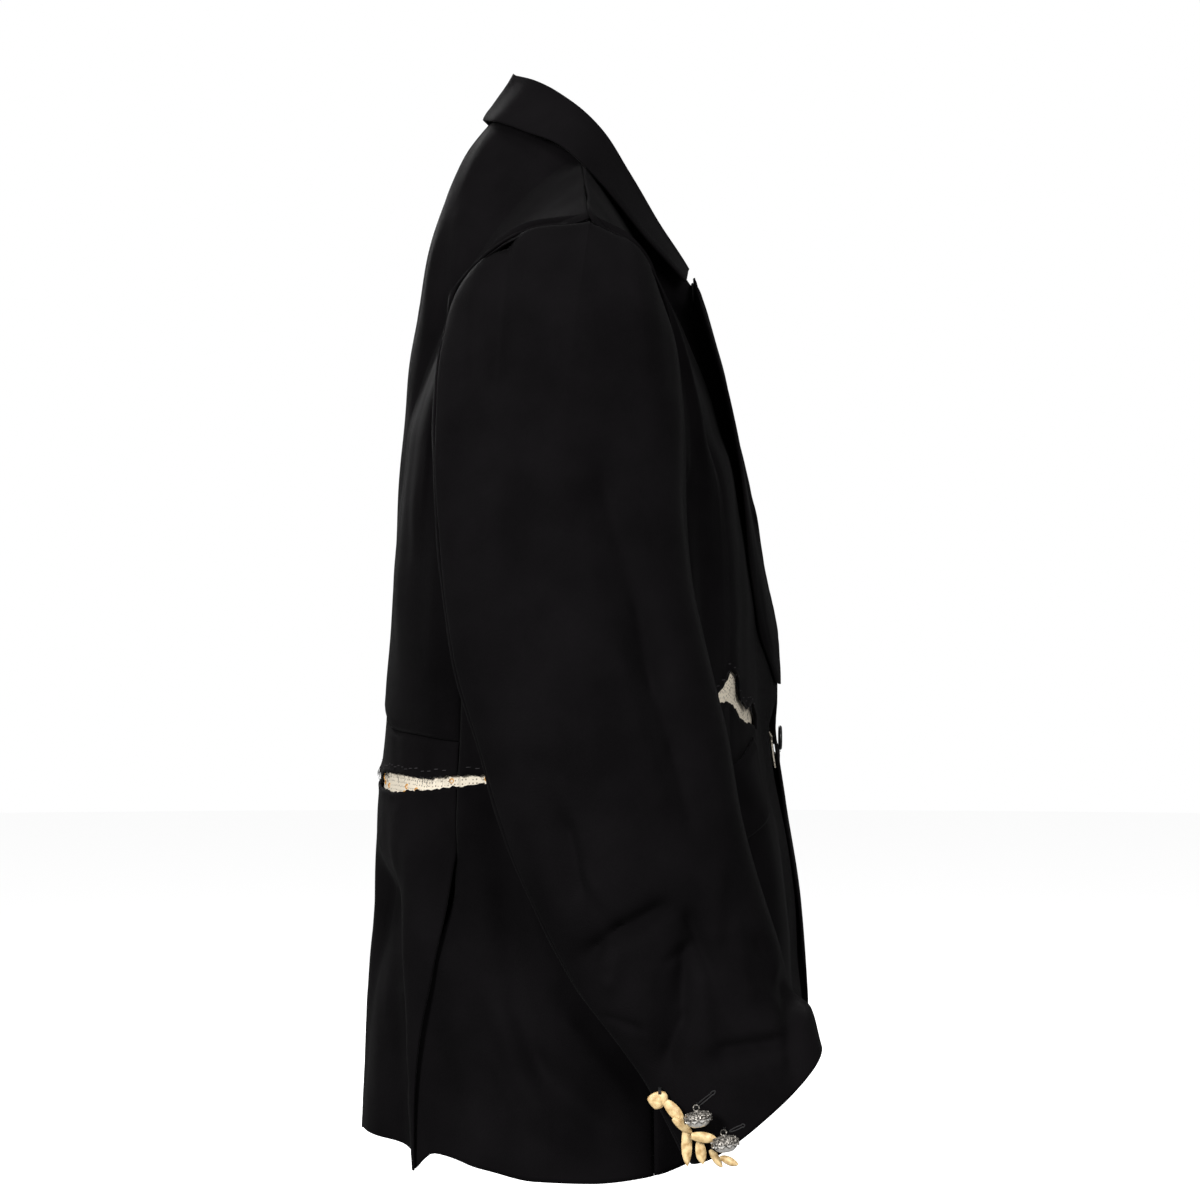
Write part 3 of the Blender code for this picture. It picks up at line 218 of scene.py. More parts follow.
# %% Tables of the rips
# The torn edges above and below; the cloth is whole where open is 0.
Rip = namedtuple("Rip", "turn upper lower open")
BACK_RIP = [Rip(0, -507.0, -512.0, 0), Rip(3, -507.5, -511.5, 1), Rip(9, -498, -505, 1),
            Rip(15, -495, -506, 1), Rip(21, -498, -508, 1), Rip(27, -499, -510, 1),
            Rip(34, -496, -510, 1), Rip(41, -496, -511, 1), Rip(49, -497, -509, 1),
            Rip(56, -498, -507, 1), Rip(64, -495, -504, 1)]
SIDE_RIP = [Rip(64, -495, -504, 1), Rip(69, -494, -501, 1), Rip(74, -495.5, -500, 1),
            Rip(79, -496, -500, 0), Rip(104, -450, -454, 0)]
FRONT_RIP = [Rip(104, -450, -454, 0), Rip(107.5, -447.5, -452, 0),
             Rip(110, -446, -450.5, 0), Rip(117, -441, -446, 0),
             Rip(123, -435, -445, 1), Rip(125.5, -430, -443, 1), Rip(128, -419, -443, 1),
             Rip(131, -423, -448, 1),
             Rip(134, -440, -455, 1), Rip(139, -448, -460, 1), Rip(145, -444, -461, 1),
             Rip(150, -456, -466, 1), Rip(154, -464, -468, 0), Rip(165.5, -473, -477, 0),
             Rip(177, -480, -484, 0), Rip(188, -481, -485, 0)]
LEFT_RIP = [Rip(104, -450, -454, 0), Rip(107.5, -447.5, -452, 0),
            Rip(110, -446, -450.5, 0), Rip(117, -441, -446, 0),
            Rip(123, -436, -445, 1), Rip(128, -430, -444, 1), Rip(131, -426, -447, 1),
            Rip(134, -440, -456, 1),
            Rip(139, -447, -461, 1), Rip(150, -453, -465, 1), Rip(157, -466, -475, 1),
            Rip(161.5, -471, -480, 1), Rip(168.5, -475, -484, 1), Rip(173.2, -477.5, -486.5, 1),
            Rip(177, -480, -487, 1), Rip(180, -482, -488, 1),
            Rip(183, -483, -487.5, 1), Rip(188, -484, -488, 0)]
print(sum(row.open for row in FRONT_RIP), "rows of the right front are torn open")


# %% Reading the tables
def column(table, name):
    """One named column of a table as an array."""
    return np.array([getattr(row, name) for row in table], float)


def smooth(keys, values, at):
    """Read values between their keys, on a curve that never overshoots them."""
    at = np.clip(at, keys[0], keys[-1])
    index = np.clip(np.searchsorted(keys, at, side="right") - 1, 0, len(keys) - 2)
    step = np.diff(keys)
    slope = np.diff(values) / step
    tangent = np.concatenate([[slope[0]], np.where(
        slope[:-1] * slope[1:] > 0,
        2 * slope[:-1] * slope[1:] / (slope[:-1] + slope[1:] + 1e-12), 0.0), [slope[-1]]])
    part = (at - keys[index]) / step[index]
    return ((1 + 2 * part) * (1 - part) ** 2 * values[index]
            + part * (1 - part) ** 2 * step[index] * tangent[index]
            + part ** 2 * (3 - 2 * part) * values[index + 1]
            + part ** 2 * (part - 1) * step[index] * tangent[index + 1])


def read(table, key, name, at):
    """Read a named column of a table at values of its key column."""
    keys, values = column(table, key), column(table, name)
    if keys[0] > keys[-1]:
        keys, values = keys[::-1], values[::-1]
    return smooth(keys, values, np.asarray(at, float))


def straight(table, name, at):
    """Read a column with straight runs between its rows, as torn edges have."""
    return np.interp(at, column(table, "turn"), column(table, name))


def unit(vectors):
    return vectors / np.maximum(np.linalg.norm(vectors, axis=-1, keepdims=True), 1e-9)


def hermite(start, leave, end, arrive, part):
    """The curve between points with given tangents, for arrays of all of them."""
    part = np.asarray(part, float)[..., None]
    return ((1 + 2 * part) * (1 - part) ** 2 * start + part * (1 - part) ** 2 * leave
            + part ** 2 * (3 - 2 * part) * end + part ** 2 * (part - 1) * arrive)


def step_up(value, start, end):
    """0 before start, 1 after end, and a smooth rise between them."""
    part = np.clip((value - start) / (end - start), 0.0, 1.0)
    return part * part * (3 - 2 * part)


print("half width at the waist", float(read(BODY, "z", "half", -470)))


# %% The body's surface
def section(turn, z):
    """Points of the body below chest level: an oval with soft corners and a centre ridge."""
    turn, z = np.broadcast_arrays(np.asarray(turn, float), np.asarray(z, float))
    angle = np.radians(turn)
    half, square = read(BODY, "z", "half", z), read(BODY, "z", "square", z)
    reach = np.where(np.cos(angle) > 0, read(BODY, "z", "back", z), read(BODY, "z", "chest", z))
    radius = (np.abs(np.sin(angle) / half) ** square
              + np.abs(np.cos(angle) / reach) ** square) ** (-1 / square)
    x, y = -radius * np.sin(angle), radius * np.cos(angle)
    ridge = read(BODY, "z", "keel", z) * np.exp(-(x / KEEL_WIDTH) ** 2)
    return np.stack([x, np.where(y < 0, y - ridge, y), z], axis=-1)


def edge_points(table, turn, names=("x", "y", "z")):
    return np.stack([read(table, "turn", name, turn) for name in names], axis=-1)


def body_grid(turns, parts, low_z):
    """Columns of the body at some turns, from the top edge (part 0) down to a height (1)."""
    turns, parts = np.asarray(turns, float), np.asarray(parts, float)
    low_z = np.broadcast_to(low_z, turns.shape)
    back = turns < 88
    front = edge_points(FRONT_EDGE, turns)
    start = np.where(back[:, None], edge_points(BACK_EDGE, turns), front)
    names = ("lx", "ly", "lz")
    leave = unit(np.where(back[:, None], edge_points(BACK_EDGE, turns, names),
                          edge_points(FRONT_EDGE, turns, names)))
    pull = np.where(back, read(BACK_EDGE, "turn", "pull", turns),
                    read(FRONT_EDGE, "turn", "pull", turns))
    high_z = np.where(turns > 173.2, read(ROLL, "turn", "z", turns), start[:, 2])
    end, below = section(turns, CHEST_LEVEL), section(turns, CHEST_LEVEL - 6)
    drop = np.maximum(start[:, 2] - CHEST_LEVEL, 3.0) * 1.05
    arrive = unit(below - end) * drop[:, None]
    share = np.clip((high_z - CHEST_LEVEL) / (high_z - low_z), 1e-6, 1.0)
    part = parts[:, None] * np.ones_like(turns)
    above = hermite(start, leave * pull[:, None], end, arrive, np.clip(part / share, 0, 1))
    level = np.where(part < share, CHEST_LEVEL, CHEST_LEVEL + (low_z - CHEST_LEVEL)
                     * (part - share) / np.maximum(1 - share, 1e-6))
    plain_level = high_z + (low_z - high_z) * part
    short = high_z <= CHEST_LEVEL + 4
    under = section(turns[None, :] + 0 * part, np.where(short, plain_level, level))
    return np.where(((part < share) & ~short)[..., None], above, under)


probe = body_grid([0.0, 30.0], [0, 0.5, 1], -438.0)
print("centre back of the neck", probe[0, 0].round(1))

# %% [markdown]
# ## Folds
# A real jacket hangs in long soft troughs with a few sharper breaks. Each one is placed
# between two places of the side view, with its own width and depth, and fades out at its ends.
# The first tables are the folds of the solids; the finer ones after them are only in the cloth.

# %% Tables of the folds
Fold = namedtuple("Fold", "y0 z0 y1 z1 wide push")
BACK_FOLDS = [
    Fold(150, -590, 137, -784, 15, -19), Fold(120, -560, 124, -784, 13, 7),
    Fold(118, -95, 128, -240, 13, 4), Fold(86, -78, 92, -142, 10, 5),
]
SKIRT_FOLDS = [
    Fold(58, -590, 28, -706, 13, -9), Fold(28, -706, -12, -742, 12, -8),
    Fold(76, -672, 38, -752, 12, -6), Fold(88, -640, 70, -770, 12, 5),
    Fold(6, -678, -30, -722, 9, 4),
]
FRONT_FOLDS = [
    Fold(-52, -172, -70, -262, 9, 5), Fold(-88, -300, -93, -392, 9, -4),
    Fold(-104, -262, -115, -420, 8, 3), Fold(-118, -520, -126, -575, 9, -6),
    Fold(-140, -540, -150, -660, 10, 4),
]
BODY_FOLDS = BACK_FOLDS + SKIRT_FOLDS + FRONT_FOLDS
CENTRE_CALM = (18.0, 52.0)     # folds fade out between these distances from the centre lines
SLEEVE_FOLDS = [
    Fold(54, -112, 60, -200, 13, -5), Fold(-20, -290, -50, -410, 17, -7),
    Fold(-50, -410, -82, -520, 17, -6), Fold(10, -530, 2, -572, 9, -6),
    Fold(-10, -614, -52, -588, 8, -6), Fold(-24, -612, -22, -634, 7, 5),
    Fold(-76, -620, -62, -690, 9, -7), Fold(-82, -598, -92, -624, 8, -5),
    Fold(-104, -688, -136, -682, 8, -5), Fold(-150, -640, -152, -690, 8, -7),
]
FINE_BODY = [
    Fold(104, -520, 86, -560, 5, -1.8), Fold(132, -524, 141, -600, 6, 2.0),
    Fold(96, -104, 101, -160, 4.5, -1.6), Fold(112, -132, 118, -190, 5, 1.5),
    Fold(126, -250, 131, -330, 7, -1.4), Fold(100, -330, 112, -418, 8, 1.6),
    Fold(136, -640, 128, -720, 6, -2.4), Fold(146, -660, 138, -770, 4.5, 2.2),
    Fold(46, -600, 60, -520, 8, -2.0), Fold(-40, -560, -66, -640, 8, 2.0),
    Fold(70, -700, 52, -740, 5, 2.6), Fold(50, -660, 24, -720, 5, -2.4),
    Fold(-60, -250, -68, -330, 4.5, 2.2), Fold(-72, -300, -80, -360, 4, -1.4),
    Fold(-46, -128, -58, -160, 5, 2.0), Fold(-92, -288, -97, -330, 5, 1.5),
    Fold(-112, -500, -122, -520, 4, -1.6), Fold(-128, -560, -138, -620, 6, -2.0),
    Fold(-60, -200, -66, -238, 3.5, -1.5), Fold(16, -640, 34, -600, 7, 1.5),
]
FINE_SLEEVE = [
    Fold(53, -110, 60, -205, 5, -2.0), Fold(-20, -284, -46, -374, 7, -2.2),
    Fold(-46, -374, -56, -425, 6, -2.4), Fold(-56, -425, -70, -472, 6, -2.4),
    Fold(-70, -472, -81, -519, 6, -2.0), Fold(-34, -420, -58, -505, 8, 1.8),
    Fold(6, -530, -2, -568, 4, -2.6), Fold(-12, -610, -28, -597, 3.5, -2.6),
    Fold(-28, -597, -56, -582, 3.5, -2.4), Fold(-25, -610, -22, -628, 3.2, -1.8),
    Fold(-74, -614, -74, -661, 4.5, -3.0), Fold(-74, -661, -62, -685, 4.5, -2.8),
    Fold(-79, -591, -91, -617, 4, -2.4), Fold(-77, -610, -65, -619, 3.2, -2.0),
    Fold(-22, -662, -40, -667, 3.5, -2.2), Fold(-105, -680, -137, -675, 4, -2.8),
    Fold(-100, -560, -96, -600, 7, 2.2), Fold(-112, -600, -120, -640, 6, 2.0),
    Fold(-50, -630, -48, -672, 6, 2.4), Fold(-88, -636, -90, -676, 6, 2.4),
    Fold(20, -470, 4, -520, 7, 1.8), Fold(44, -300, 40, -380, 12, -1.6),
    Fold(-62, -130, -70, -210, 7, -2.2), Fold(-40, -110, -48, -190, 8, 1.8),
    Fold(74, -150, 72, -220, 7, 2.0), Fold(-84, -230, -82, -300, 6, -1.8),
    Fold(-128, -610, -140, -640, 5, -2.0), Fold(-6, -560, -22, -584, 5, 1.8),
]
print(len(BODY_FOLDS) + len(FINE_BODY), "body folds,", len(SLEEVE_FOLDS) + len(FINE_SLEEVE),
      "sleeve folds")


# %% Pressing folds into a surface
def fold_height(folds, y, z):
    """Sum of the folds' heights at places of the side view."""
    total = np.zeros_like(y)
    for fold in folds:
        run_y, run_z = fold.y1 - fold.y0, fold.z1 - fold.z0
        long = math.hypot(run_y, run_z)
        along = ((y - fold.y0) * run_y + (z - fold.z0) * run_z) / long ** 2
        away = ((y - fold.y0) * run_z - (z - fold.z0) * run_y) / long
        past = np.maximum(0.0, np.maximum(-along, along - 1)) * long
        total += fold.push * np.exp(-(away / fold.wide) ** 2 - (past / (1.6 * fold.wide)) ** 2)
    return total


def normals(points):
    """Unit normals of a grid of body points, outwards from the body's middle line."""
    down, across = np.gradient(points, axis=0), np.gradient(points, axis=1)
    along = unit(np.cross(down, across))
    outward = points * np.array([1.0, 1.0, 0.0])
    return along if (along * outward).sum() > 0 else -along


def ripple(points, seed):
    """Slow uneven waves of about 1 mm, so that no stretch of cloth is perfectly smooth."""
    chance = random.Random(seed)
    total = np.zeros(points.shape[:2])
    for long, high in ((95, 0.5), (95, 0.5), (58, 0.35), (58, 0.3), (34, 0.16), (27, 0.12)):
        way = np.array([chance.uniform(-1, 1), chance.uniform(-1, 1), chance.uniform(-0.35, 0.35)])
        way = way / np.linalg.norm(way) * 2 * math.pi / long
        bend = chance.uniform(0, 6.3)
        total += high * np.sin(points @ way + bend + 1.3 * np.sin(points[..., 2] / 61 + bend))
    return total


def edge_distance(points, sides):
    """Distance over the cloth from the nearest of the named edges of a grid."""
    steps_down = np.linalg.norm(np.diff(points, axis=0), axis=-1)
    steps_across = np.linalg.norm(np.diff(points, axis=1), axis=-1)
    far = np.full(points.shape[:2], 1e3)
    if "first" in sides:
        far[:, 1:] = np.minimum(far[:, 1:], np.cumsum(steps_across, axis=1))
        far[:, 0] = 0
    if "last" in sides:
        far[:, :-1] = np.minimum(far[:, :-1], np.cumsum(steps_across[:, ::-1], axis=1)[:, ::-1])
        far[:, -1] = 0
    if "top" in sides:
        far[1:] = np.minimum(far[1:], np.cumsum(steps_down, axis=0))
        far[0] = 0
    if "bottom" in sides:
        far[:-1] = np.minimum(far[:-1], np.cumsum(steps_down[::-1], axis=0)[::-1])
        far[-1] = 0
    return far


def seamed(points, along, sides, depth=1.1, wide=2.6):
    """Roll a piece's edges in towards its seams, with a low ridge of turnings beside them."""
    far = edge_distance(points, sides)
    height = -depth * np.exp(-(far / wide) ** 2) + 0.25 * np.exp(-((far - 7) / 3.2) ** 2)
    return points + along * height[..., None]


FOLD_SHARE = {"right": 1.0, "left": 0.85}


def dressed(points, hand, seed, lift=CLOTH):
    """A fine body piece: folded, rippled and set on its solid's outer face."""
    along = normals(points)
    heights = fold_height(BODY_FOLDS, points[..., 1], points[..., 2])
    finer = fold_height(FINE_BODY, points[..., 1], points[..., 2]) * FOLD_SHARE[hand]
    heights = (heights + finer) * step_up(np.abs(points[..., 0]), *CENTRE_CALM)
    return points + along * (heights + ripple(points, seed) + lift)[..., None]


# %% [markdown]
# ## From a grid of points to a piece of cloth
# `create_grid` makes a flat sheet of the right number of cells, and each corner then moves to its
# place on the jacket. Solidify gives it the thickness of wool on the inside, so the outer face
# stays where the solid's is. The cloth's own lengths go into a UV map in metres, and the
# twill of the material follows it round every curve.

# %% Making a piece
def cloth(name, points, finish, keep=None, thick=CLOTH, hand="right", out=None):
    """A sheet over a grid of points in mm; keep marks its cells, out its outer side."""
    out = points * np.array([1.0, 1.0, 0.0]) if out is None else out
    if hand == "left":
        points, out = points * np.array([-1.0, 1.0, 1.0]), out * np.array([-1.0, 1.0, 1.0])
    rows, cols = points.shape[:2]
    across = np.zeros((rows, cols))
    across[:, 1:] = np.cumsum(np.linalg.norm(np.diff(points, axis=1), axis=-1), axis=1)
    across -= across[:, cols // 2][:, None]
    down = np.zeros((rows, cols))
    down[1:] = np.cumsum(np.linalg.norm(np.diff(points, axis=0), axis=-1), axis=0)
    mesh = bmesh.new()
    bmesh.ops.create_grid(mesh, x_segments=cols - 1, y_segments=rows - 1, size=1.0)
    mesh.verts.ensure_lookup_table()
    order = np.array([(v.co.x, v.co.y) for v in mesh.verts])
    col_of = np.rint((order[:, 0] + 1) / 2 * (cols - 1)).astype(int)
    row_of = np.rint((order[:, 1] + 1) / 2 * (rows - 1)).astype(int)
    for vertex, row, col in zip(mesh.verts, row_of, col_of):
        vertex.co = points[row, col] * MM
    if keep is not None:
        gone = []
        for face in mesh.faces:
            cells = [(row_of[v.index], col_of[v.index]) for v in face.verts]
            if not keep[min(c[0] for c in cells), min(c[1] for c in cells)]:
                gone.append(face)
        bmesh.ops.delete(mesh, geom=gone, context="FACES")
    weave = mesh.loops.layers.uv.new("weave")
    for face in mesh.faces:
        for loop in face.loops:
            at = loop.vert.index
            loop[weave].uv = (across[row_of[at], col_of[at]] * MM, down[row_of[at], col_of[at]] * MM)
    mesh.normal_update()
    lean = 0.0
    for face in list(mesh.faces)[::23]:
        at = face.verts[0].index
        lean += float(np.dot(face.normal, out[row_of[at], col_of[at]]))
    if lean < 0:
        bmesh.ops.reverse_faces(mesh, faces=mesh.faces)
    made = finished(name, mesh, finish)
    wall = made.modifiers.new("thickness", "SOLIDIFY")
    wall.thickness = thick * MM
    wall.offset = -1.0
    return made


def finished(name, mesh, finish, angle=50.0):
    """Put a bmesh into the scene as a smooth piece that rides with the jacket."""
    data = bpy.data.meshes.new(name)
    mesh.to_mesh(data)
    mesh.free()
    data.materials.append(finish)
    data.shade_smooth()
    data.set_sharp_from_angle(angle=math.radians(angle))
    made = bpy.data.objects.new(name, data)
    bpy.context.scene.collection.objects.link(made)
    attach(made, "root")
    return made


print("pieces are made from grids of points")

# %% [markdown]
# ## Black wool
# The wool is nearly black and matte. What shows is its twill, a faint bloom of loose fibres that
# catches the light at the edges, and a slightly browner or greyer patch here and there. The base
# is dark, the sheen gives the bloom, and two bumps give the twill and the uneven surface.

# %% Wool
def new_finish(name, colour, roughness, metallic=0.0):
    """A Principled material and its node tree."""
    made = bpy.data.materials.new(name)
    made.use_nodes = True
    shader = made.node_tree.nodes["Principled BSDF"]
    shader.inputs["Base Color"].default_value = (*colour, 1)
    shader.inputs["Roughness"].default_value = roughness
    shader.inputs["Metallic"].default_value = metallic
    return made, made.node_tree, shader


def noise(tree, vector, scale, detail=2.0):
    """The value of a noise texture."""
    made = tree.nodes.new("ShaderNodeTexNoise")
    made.inputs["Scale"].default_value = scale
    made.inputs["Detail"].default_value = detail
    tree.links.new(vector, made.inputs["Vector"])
    return made.outputs["Fac"]


def tones(tree, shader, value, low, first, high, last):
    """Colour a finish by a value: first below low, last above high."""
    ramp = tree.nodes.new("ShaderNodeValToRGB")
    for element, place, colour in zip(ramp.color_ramp.elements, (low, high), (first, last)):
        element.position, element.color = place, (*colour, 1)
    tree.links.new(value, ramp.inputs[0])
    tree.links.new(ramp.outputs[0], shader.inputs["Base Color"])


def relief(tree, shader, *layers):
    """Bumps on top of each other, each from its height, distance and strength."""
    normal = None
    for height, distance, strength in layers:
        bump = tree.nodes.new("ShaderNodeBump")
        bump.inputs["Strength"].default_value = strength
        bump.inputs["Distance"].default_value = distance
        tree.links.new(height, bump.inputs["Height"])
        if normal is not None:
            tree.links.new(normal, bump.inputs["Normal"])
        normal = bump.outputs["Normal"]
    tree.links.new(normal, shader.inputs["Normal"])


def wool(name, colour, lighter, sheen, roughness=0.82):
    """Fine black twill, read along the cloth's own lengths."""
    made, tree, shader = new_finish(name, colour, roughness)
    shader.inputs["Specular IOR Level"].default_value = 0.035
    shader.inputs["Sheen Weight"].default_value = sheen
    shader.inputs["Sheen Roughness"].default_value = 0.4
    uv = tree.nodes.new("ShaderNodeUVMap")
    uv.uv_map = "weave"
    lean = tree.nodes.new("ShaderNodeMapping")
    lean.inputs["Rotation"].default_value = (0, 0, math.radians(52))
    lean.inputs["Scale"].default_value = (1000, 1000, 1000)
    tree.links.new(uv.outputs[0], lean.inputs[0])
    twill = tree.nodes.new("ShaderNodeTexWave")
    twill.inputs["Scale"].default_value = 0.42
    twill.inputs["Distortion"].default_value = 0.7
    twill.inputs["Detail Scale"].default_value = 3.0
    tree.links.new(lean.outputs[0], twill.inputs[0])
    place = tree.nodes.new("ShaderNodeTexCoord").outputs["Object"]
    tones(tree, shader, noise(tree, place, 16.0, 6.0), 0.35, colour, 0.7, lighter)
    relief(tree, shader, (noise(tree, place, 420.0, 3.0), 0.0003, 0.5),
           (twill.outputs["Fac"], 0.00015, 0.6))
    return made


WOOL = wool("black wool", (0.0021, 0.0018, 0.0021), (0.0040, 0.0035, 0.0040), 0.012)
print("wool ready")

# %% [markdown]
# ## The body
# Four pieces on each side make the body: the upper back, the skirt of the back below a curved
# waist seam, the side panel and the front. A waist tear runs round the back and across each
# front. The torn edges are uneven and a little lifted, so their cells are left out of the grid
# and the rows beside them follow a jagged line.

# %% Upper back
GAP_TURN = math.degrees(SEAM_GAP / 4 / 190)
FINE = 0.78


def turns_between(start, end, count, *tables):
    """Even columns, with one also at each row of the tables."""
    marks = [row.turn for table in tables for row in table if start < row.turn < end]
    return np.unique(np.concatenate([np.linspace(start, end, int(count * FINE)), marks]))


def sewn(part, hand, points, flat, area, finish=WOOL, slot="wool", mirrored=True, **more):
    """Dress a cut piece in its cloth; the flat size in m and the area that show are not used."""
    side = "_" + hand if hand else ""
    piece = cloth(part + "_cloth" + side, points, finish,
                  hand=hand if hand and mirrored else "right", **more)
    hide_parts(part + side)


back_turns = turns_between(GAP_TURN, SIDE_BACK_SEAM - GAP_TURN, 92, BACK_EDGE)
back_low = read(WAIST_SEAM, "turn", "z", back_turns) + 0.3
back_rows = np.linspace(0.0003, 1, int(170 * FINE))
upper_back = body_grid(back_turns, back_rows, back_low)
for hand in ("right", "left"):
    shaped = dressed(upper_back, hand, 11 if hand == "right" else 12)
    shaped = seamed(shaped, normals(shaped), ("first", "last", "bottom", "top"))
    sewn("back_upper", hand, shaped, (0.26, 0.50), 0.105)
print("upper back", len(back_turns), "columns")


# %% Torn edges
def jag(turns, seed, high=1.1):
    """Uneven heights along a torn edge."""
    chance = random.Random(seed)
    total = np.zeros_like(turns)
    for long, share in ((2.9, 0.5), (1.7, 0.5), (0.9, 0.35)):
        total += share * np.sin(turns * 2 * math.pi / long + chance.uniform(0, 6.3)
                                + 1.5 * np.sin(turns / 3.1 + chance.uniform(0, 6.3)))
    return total * high


def torn_rows(rip, turns, seed):
    """Heights of the two torn edges, and the columns where the cloth is open."""
    opened = np.interp(turns, column(rip, "turn"), column(rip, "open"))
    upper = straight(rip, "upper", turns) + jag(turns, seed) * opened
    lower = straight(rip, "lower", turns) + jag(turns, seed + 5) * opened
    return upper, lower, opened > 0.99


def open_cells(rows, row, opened):
    """Mark the cells that are cloth: all but the torn ones of one row."""
    keep = np.ones((rows - 1, len(opened) - 1), bool)
    keep[row, opened[:-1] & opened[1:]] = False
    return keep


def curled(points, along, row, opened, high=1.3):
    """Lift the cloth beside a tear, as a cut edge curls out."""
    far = edge_distance(points[: row + 1], ("bottom",))
    above = high * np.exp(-(far / 3.0) ** 2) * opened
    far = edge_distance(points[row + 1:], ("top",))
    below = 0.7 * high * np.exp(-(far / 3.0) ** 2) * opened
    return points + along * np.concatenate([above, below])[..., None]


# %% Skirt of the back
def vent_turn(z, edge, lowest, start=VENT_TOP):
    """The edge of a vent leaves the seam at its start and runs to its turn at the hem."""
    return edge + (lowest - edge) * step_up(-z, -start, 800.0) ** 0.6


UPPER_ROWS, LOWER_ROWS = int(22 * FINE), int(110 * FINE)
skirt_turns = turns_between(GAP_TURN, SIDE_BACK_SEAM - GAP_TURN, 96, BACK_RIP)
torn_high, torn_low, torn_open = torn_rows(BACK_RIP, skirt_turns, 3)
seam_z = read(WAIST_SEAM, "turn", "z", skirt_turns) - 0.3
down = np.linspace(0, 1, UPPER_ROWS)[:, None]
above = section(skirt_turns[None, :] + 0 * down, seam_z + (torn_high - seam_z) * down)
down = np.linspace(0, 1, LOWER_ROWS)[:, None]
placed = vent_turn(torn_low + (-785 - torn_low) * down, SIDE_BACK_SEAM, 55) - SIDE_BACK_SEAM
placed = skirt_turns + placed * skirt_turns / SIDE_BACK_SEAM
below = section(placed, torn_low + (read(HEM, "turn", "z", placed) - torn_low) * down)
back_skirt = np.concatenate([above, below])
skirt_keep = open_cells(len(back_skirt), UPPER_ROWS - 1, torn_open)
for hand in ("right", "left"):
    shaped = dressed(back_skirt, hand, 21 if hand == "right" else 22)
    shaped = curled(shaped, normals(shaped), UPPER_ROWS - 1, torn_open)
    shaped = seamed(shaped, normals(shaped), ("first", "top"))
    sewn("back_skirt", hand, shaped, (0.23, 0.33), 0.064, keep=skirt_keep)
print("skirt", back_skirt.shape)

# %% Side panels
side_turns = turns_between(SIDE_BACK_SEAM + GAP_TURN, SIDE_FRONT_SEAM - GAP_TURN, 62, SIDE_RIP)
side_high, side_low, side_open = torn_rows(SIDE_RIP, side_turns, 4)
SIDE_UPPER = int(60 * FINE)
above = body_grid(side_turns, np.linspace(0.0006, 1, SIDE_UPPER), side_high)
down = np.linspace(0, 1, LOWER_ROWS)[:, None]
level = side_low + (-788 - side_low) * down
share = (SIDE_FRONT_SEAM - side_turns) / (SIDE_FRONT_SEAM - SIDE_BACK_SEAM)
placed = vent_turn(level, SIDE_BACK_SEAM, 48, VENT_TOP - 30) - SIDE_BACK_SEAM
placed = side_turns + placed * share ** 2
below = section(placed, side_low + (read(HEM, "turn", "z", placed) - side_low) * down)
tuck = UNDERLAP_DEPTH * step_up(-level, -VENT_TOP - 24, -VENT_TOP + 50) * share ** 1.6
side_panel = np.concatenate([above, below])
side_keep = open_cells(len(side_panel), SIDE_UPPER - 1, side_open)
for hand in ("right", "left"):
    shaped = dressed(side_panel, hand, 31 if hand == "right" else 32)
    shaped[SIDE_UPPER:, :, 0] += tuck
    shaped = curled(shaped, normals(shaped), SIDE_UPPER - 1, side_open)
    shaped = seamed(shaped, normals(shaped), ("first", "last", "top"))
    sewn("side", hand, shaped, (0.21, 0.50), 0.078, keep=side_keep)
print("side panel", side_panel.shape)

# %% Fronts
FRONT_UPPER, FRONT_LOWER = int(128 * FINE), int(92 * FINE)
front_turns = turns_between(SIDE_FRONT_SEAM + GAP_TURN, 180 + LAP, 118, FRONT_EDGE, ROLL,
                            FRONT_RIP, LEFT_RIP)
for hand, rip, tuck, seed in (("right", FRONT_RIP, FRONT_TUCK, 6), ("left", LEFT_RIP, 0.0, 7)):
    high, low, torn = torn_rows(rip, front_turns, seed)
    above = body_grid(front_turns, np.linspace(0.0006, 1, FRONT_UPPER), high)
    down = np.linspace(0, 1, FRONT_LOWER)[:, None]
    below = section(front_turns, low + (read(HEM, "turn", "z", front_turns) - low) * down)
    panel = np.concatenate([above, below])
    panel[..., 1] += tuck * step_up(front_turns, 166.0, 177.0) * step_up(-panel[..., 2], 440, 466)
    shaped = dressed(panel, hand, 41 + seed)
    shaped = curled(shaped, normals(shaped), FRONT_UPPER - 1, torn)
    shaped = seamed(shaped, normals(shaped), ("first",))
    sewn("front", hand, shaped, (0.34, 0.76), 0.165,
         keep=open_cells(len(panel), FRONT_UPPER - 1, torn))
print("front", panel.shape)

# %% [markdown]
# ## Sleeves
# Each sleeve runs from the armhole's edge through a smooth turn at the shoulder to a bent tube,
# whose sections lean back at the elbow and flare at the cuff. The outer face lies on the solids'
# outer face, so these pieces take no lift. Deep folds at the inner elbow and short breaks above
# the cuff come from the fold tables; they fade out round the sleeve's edges.

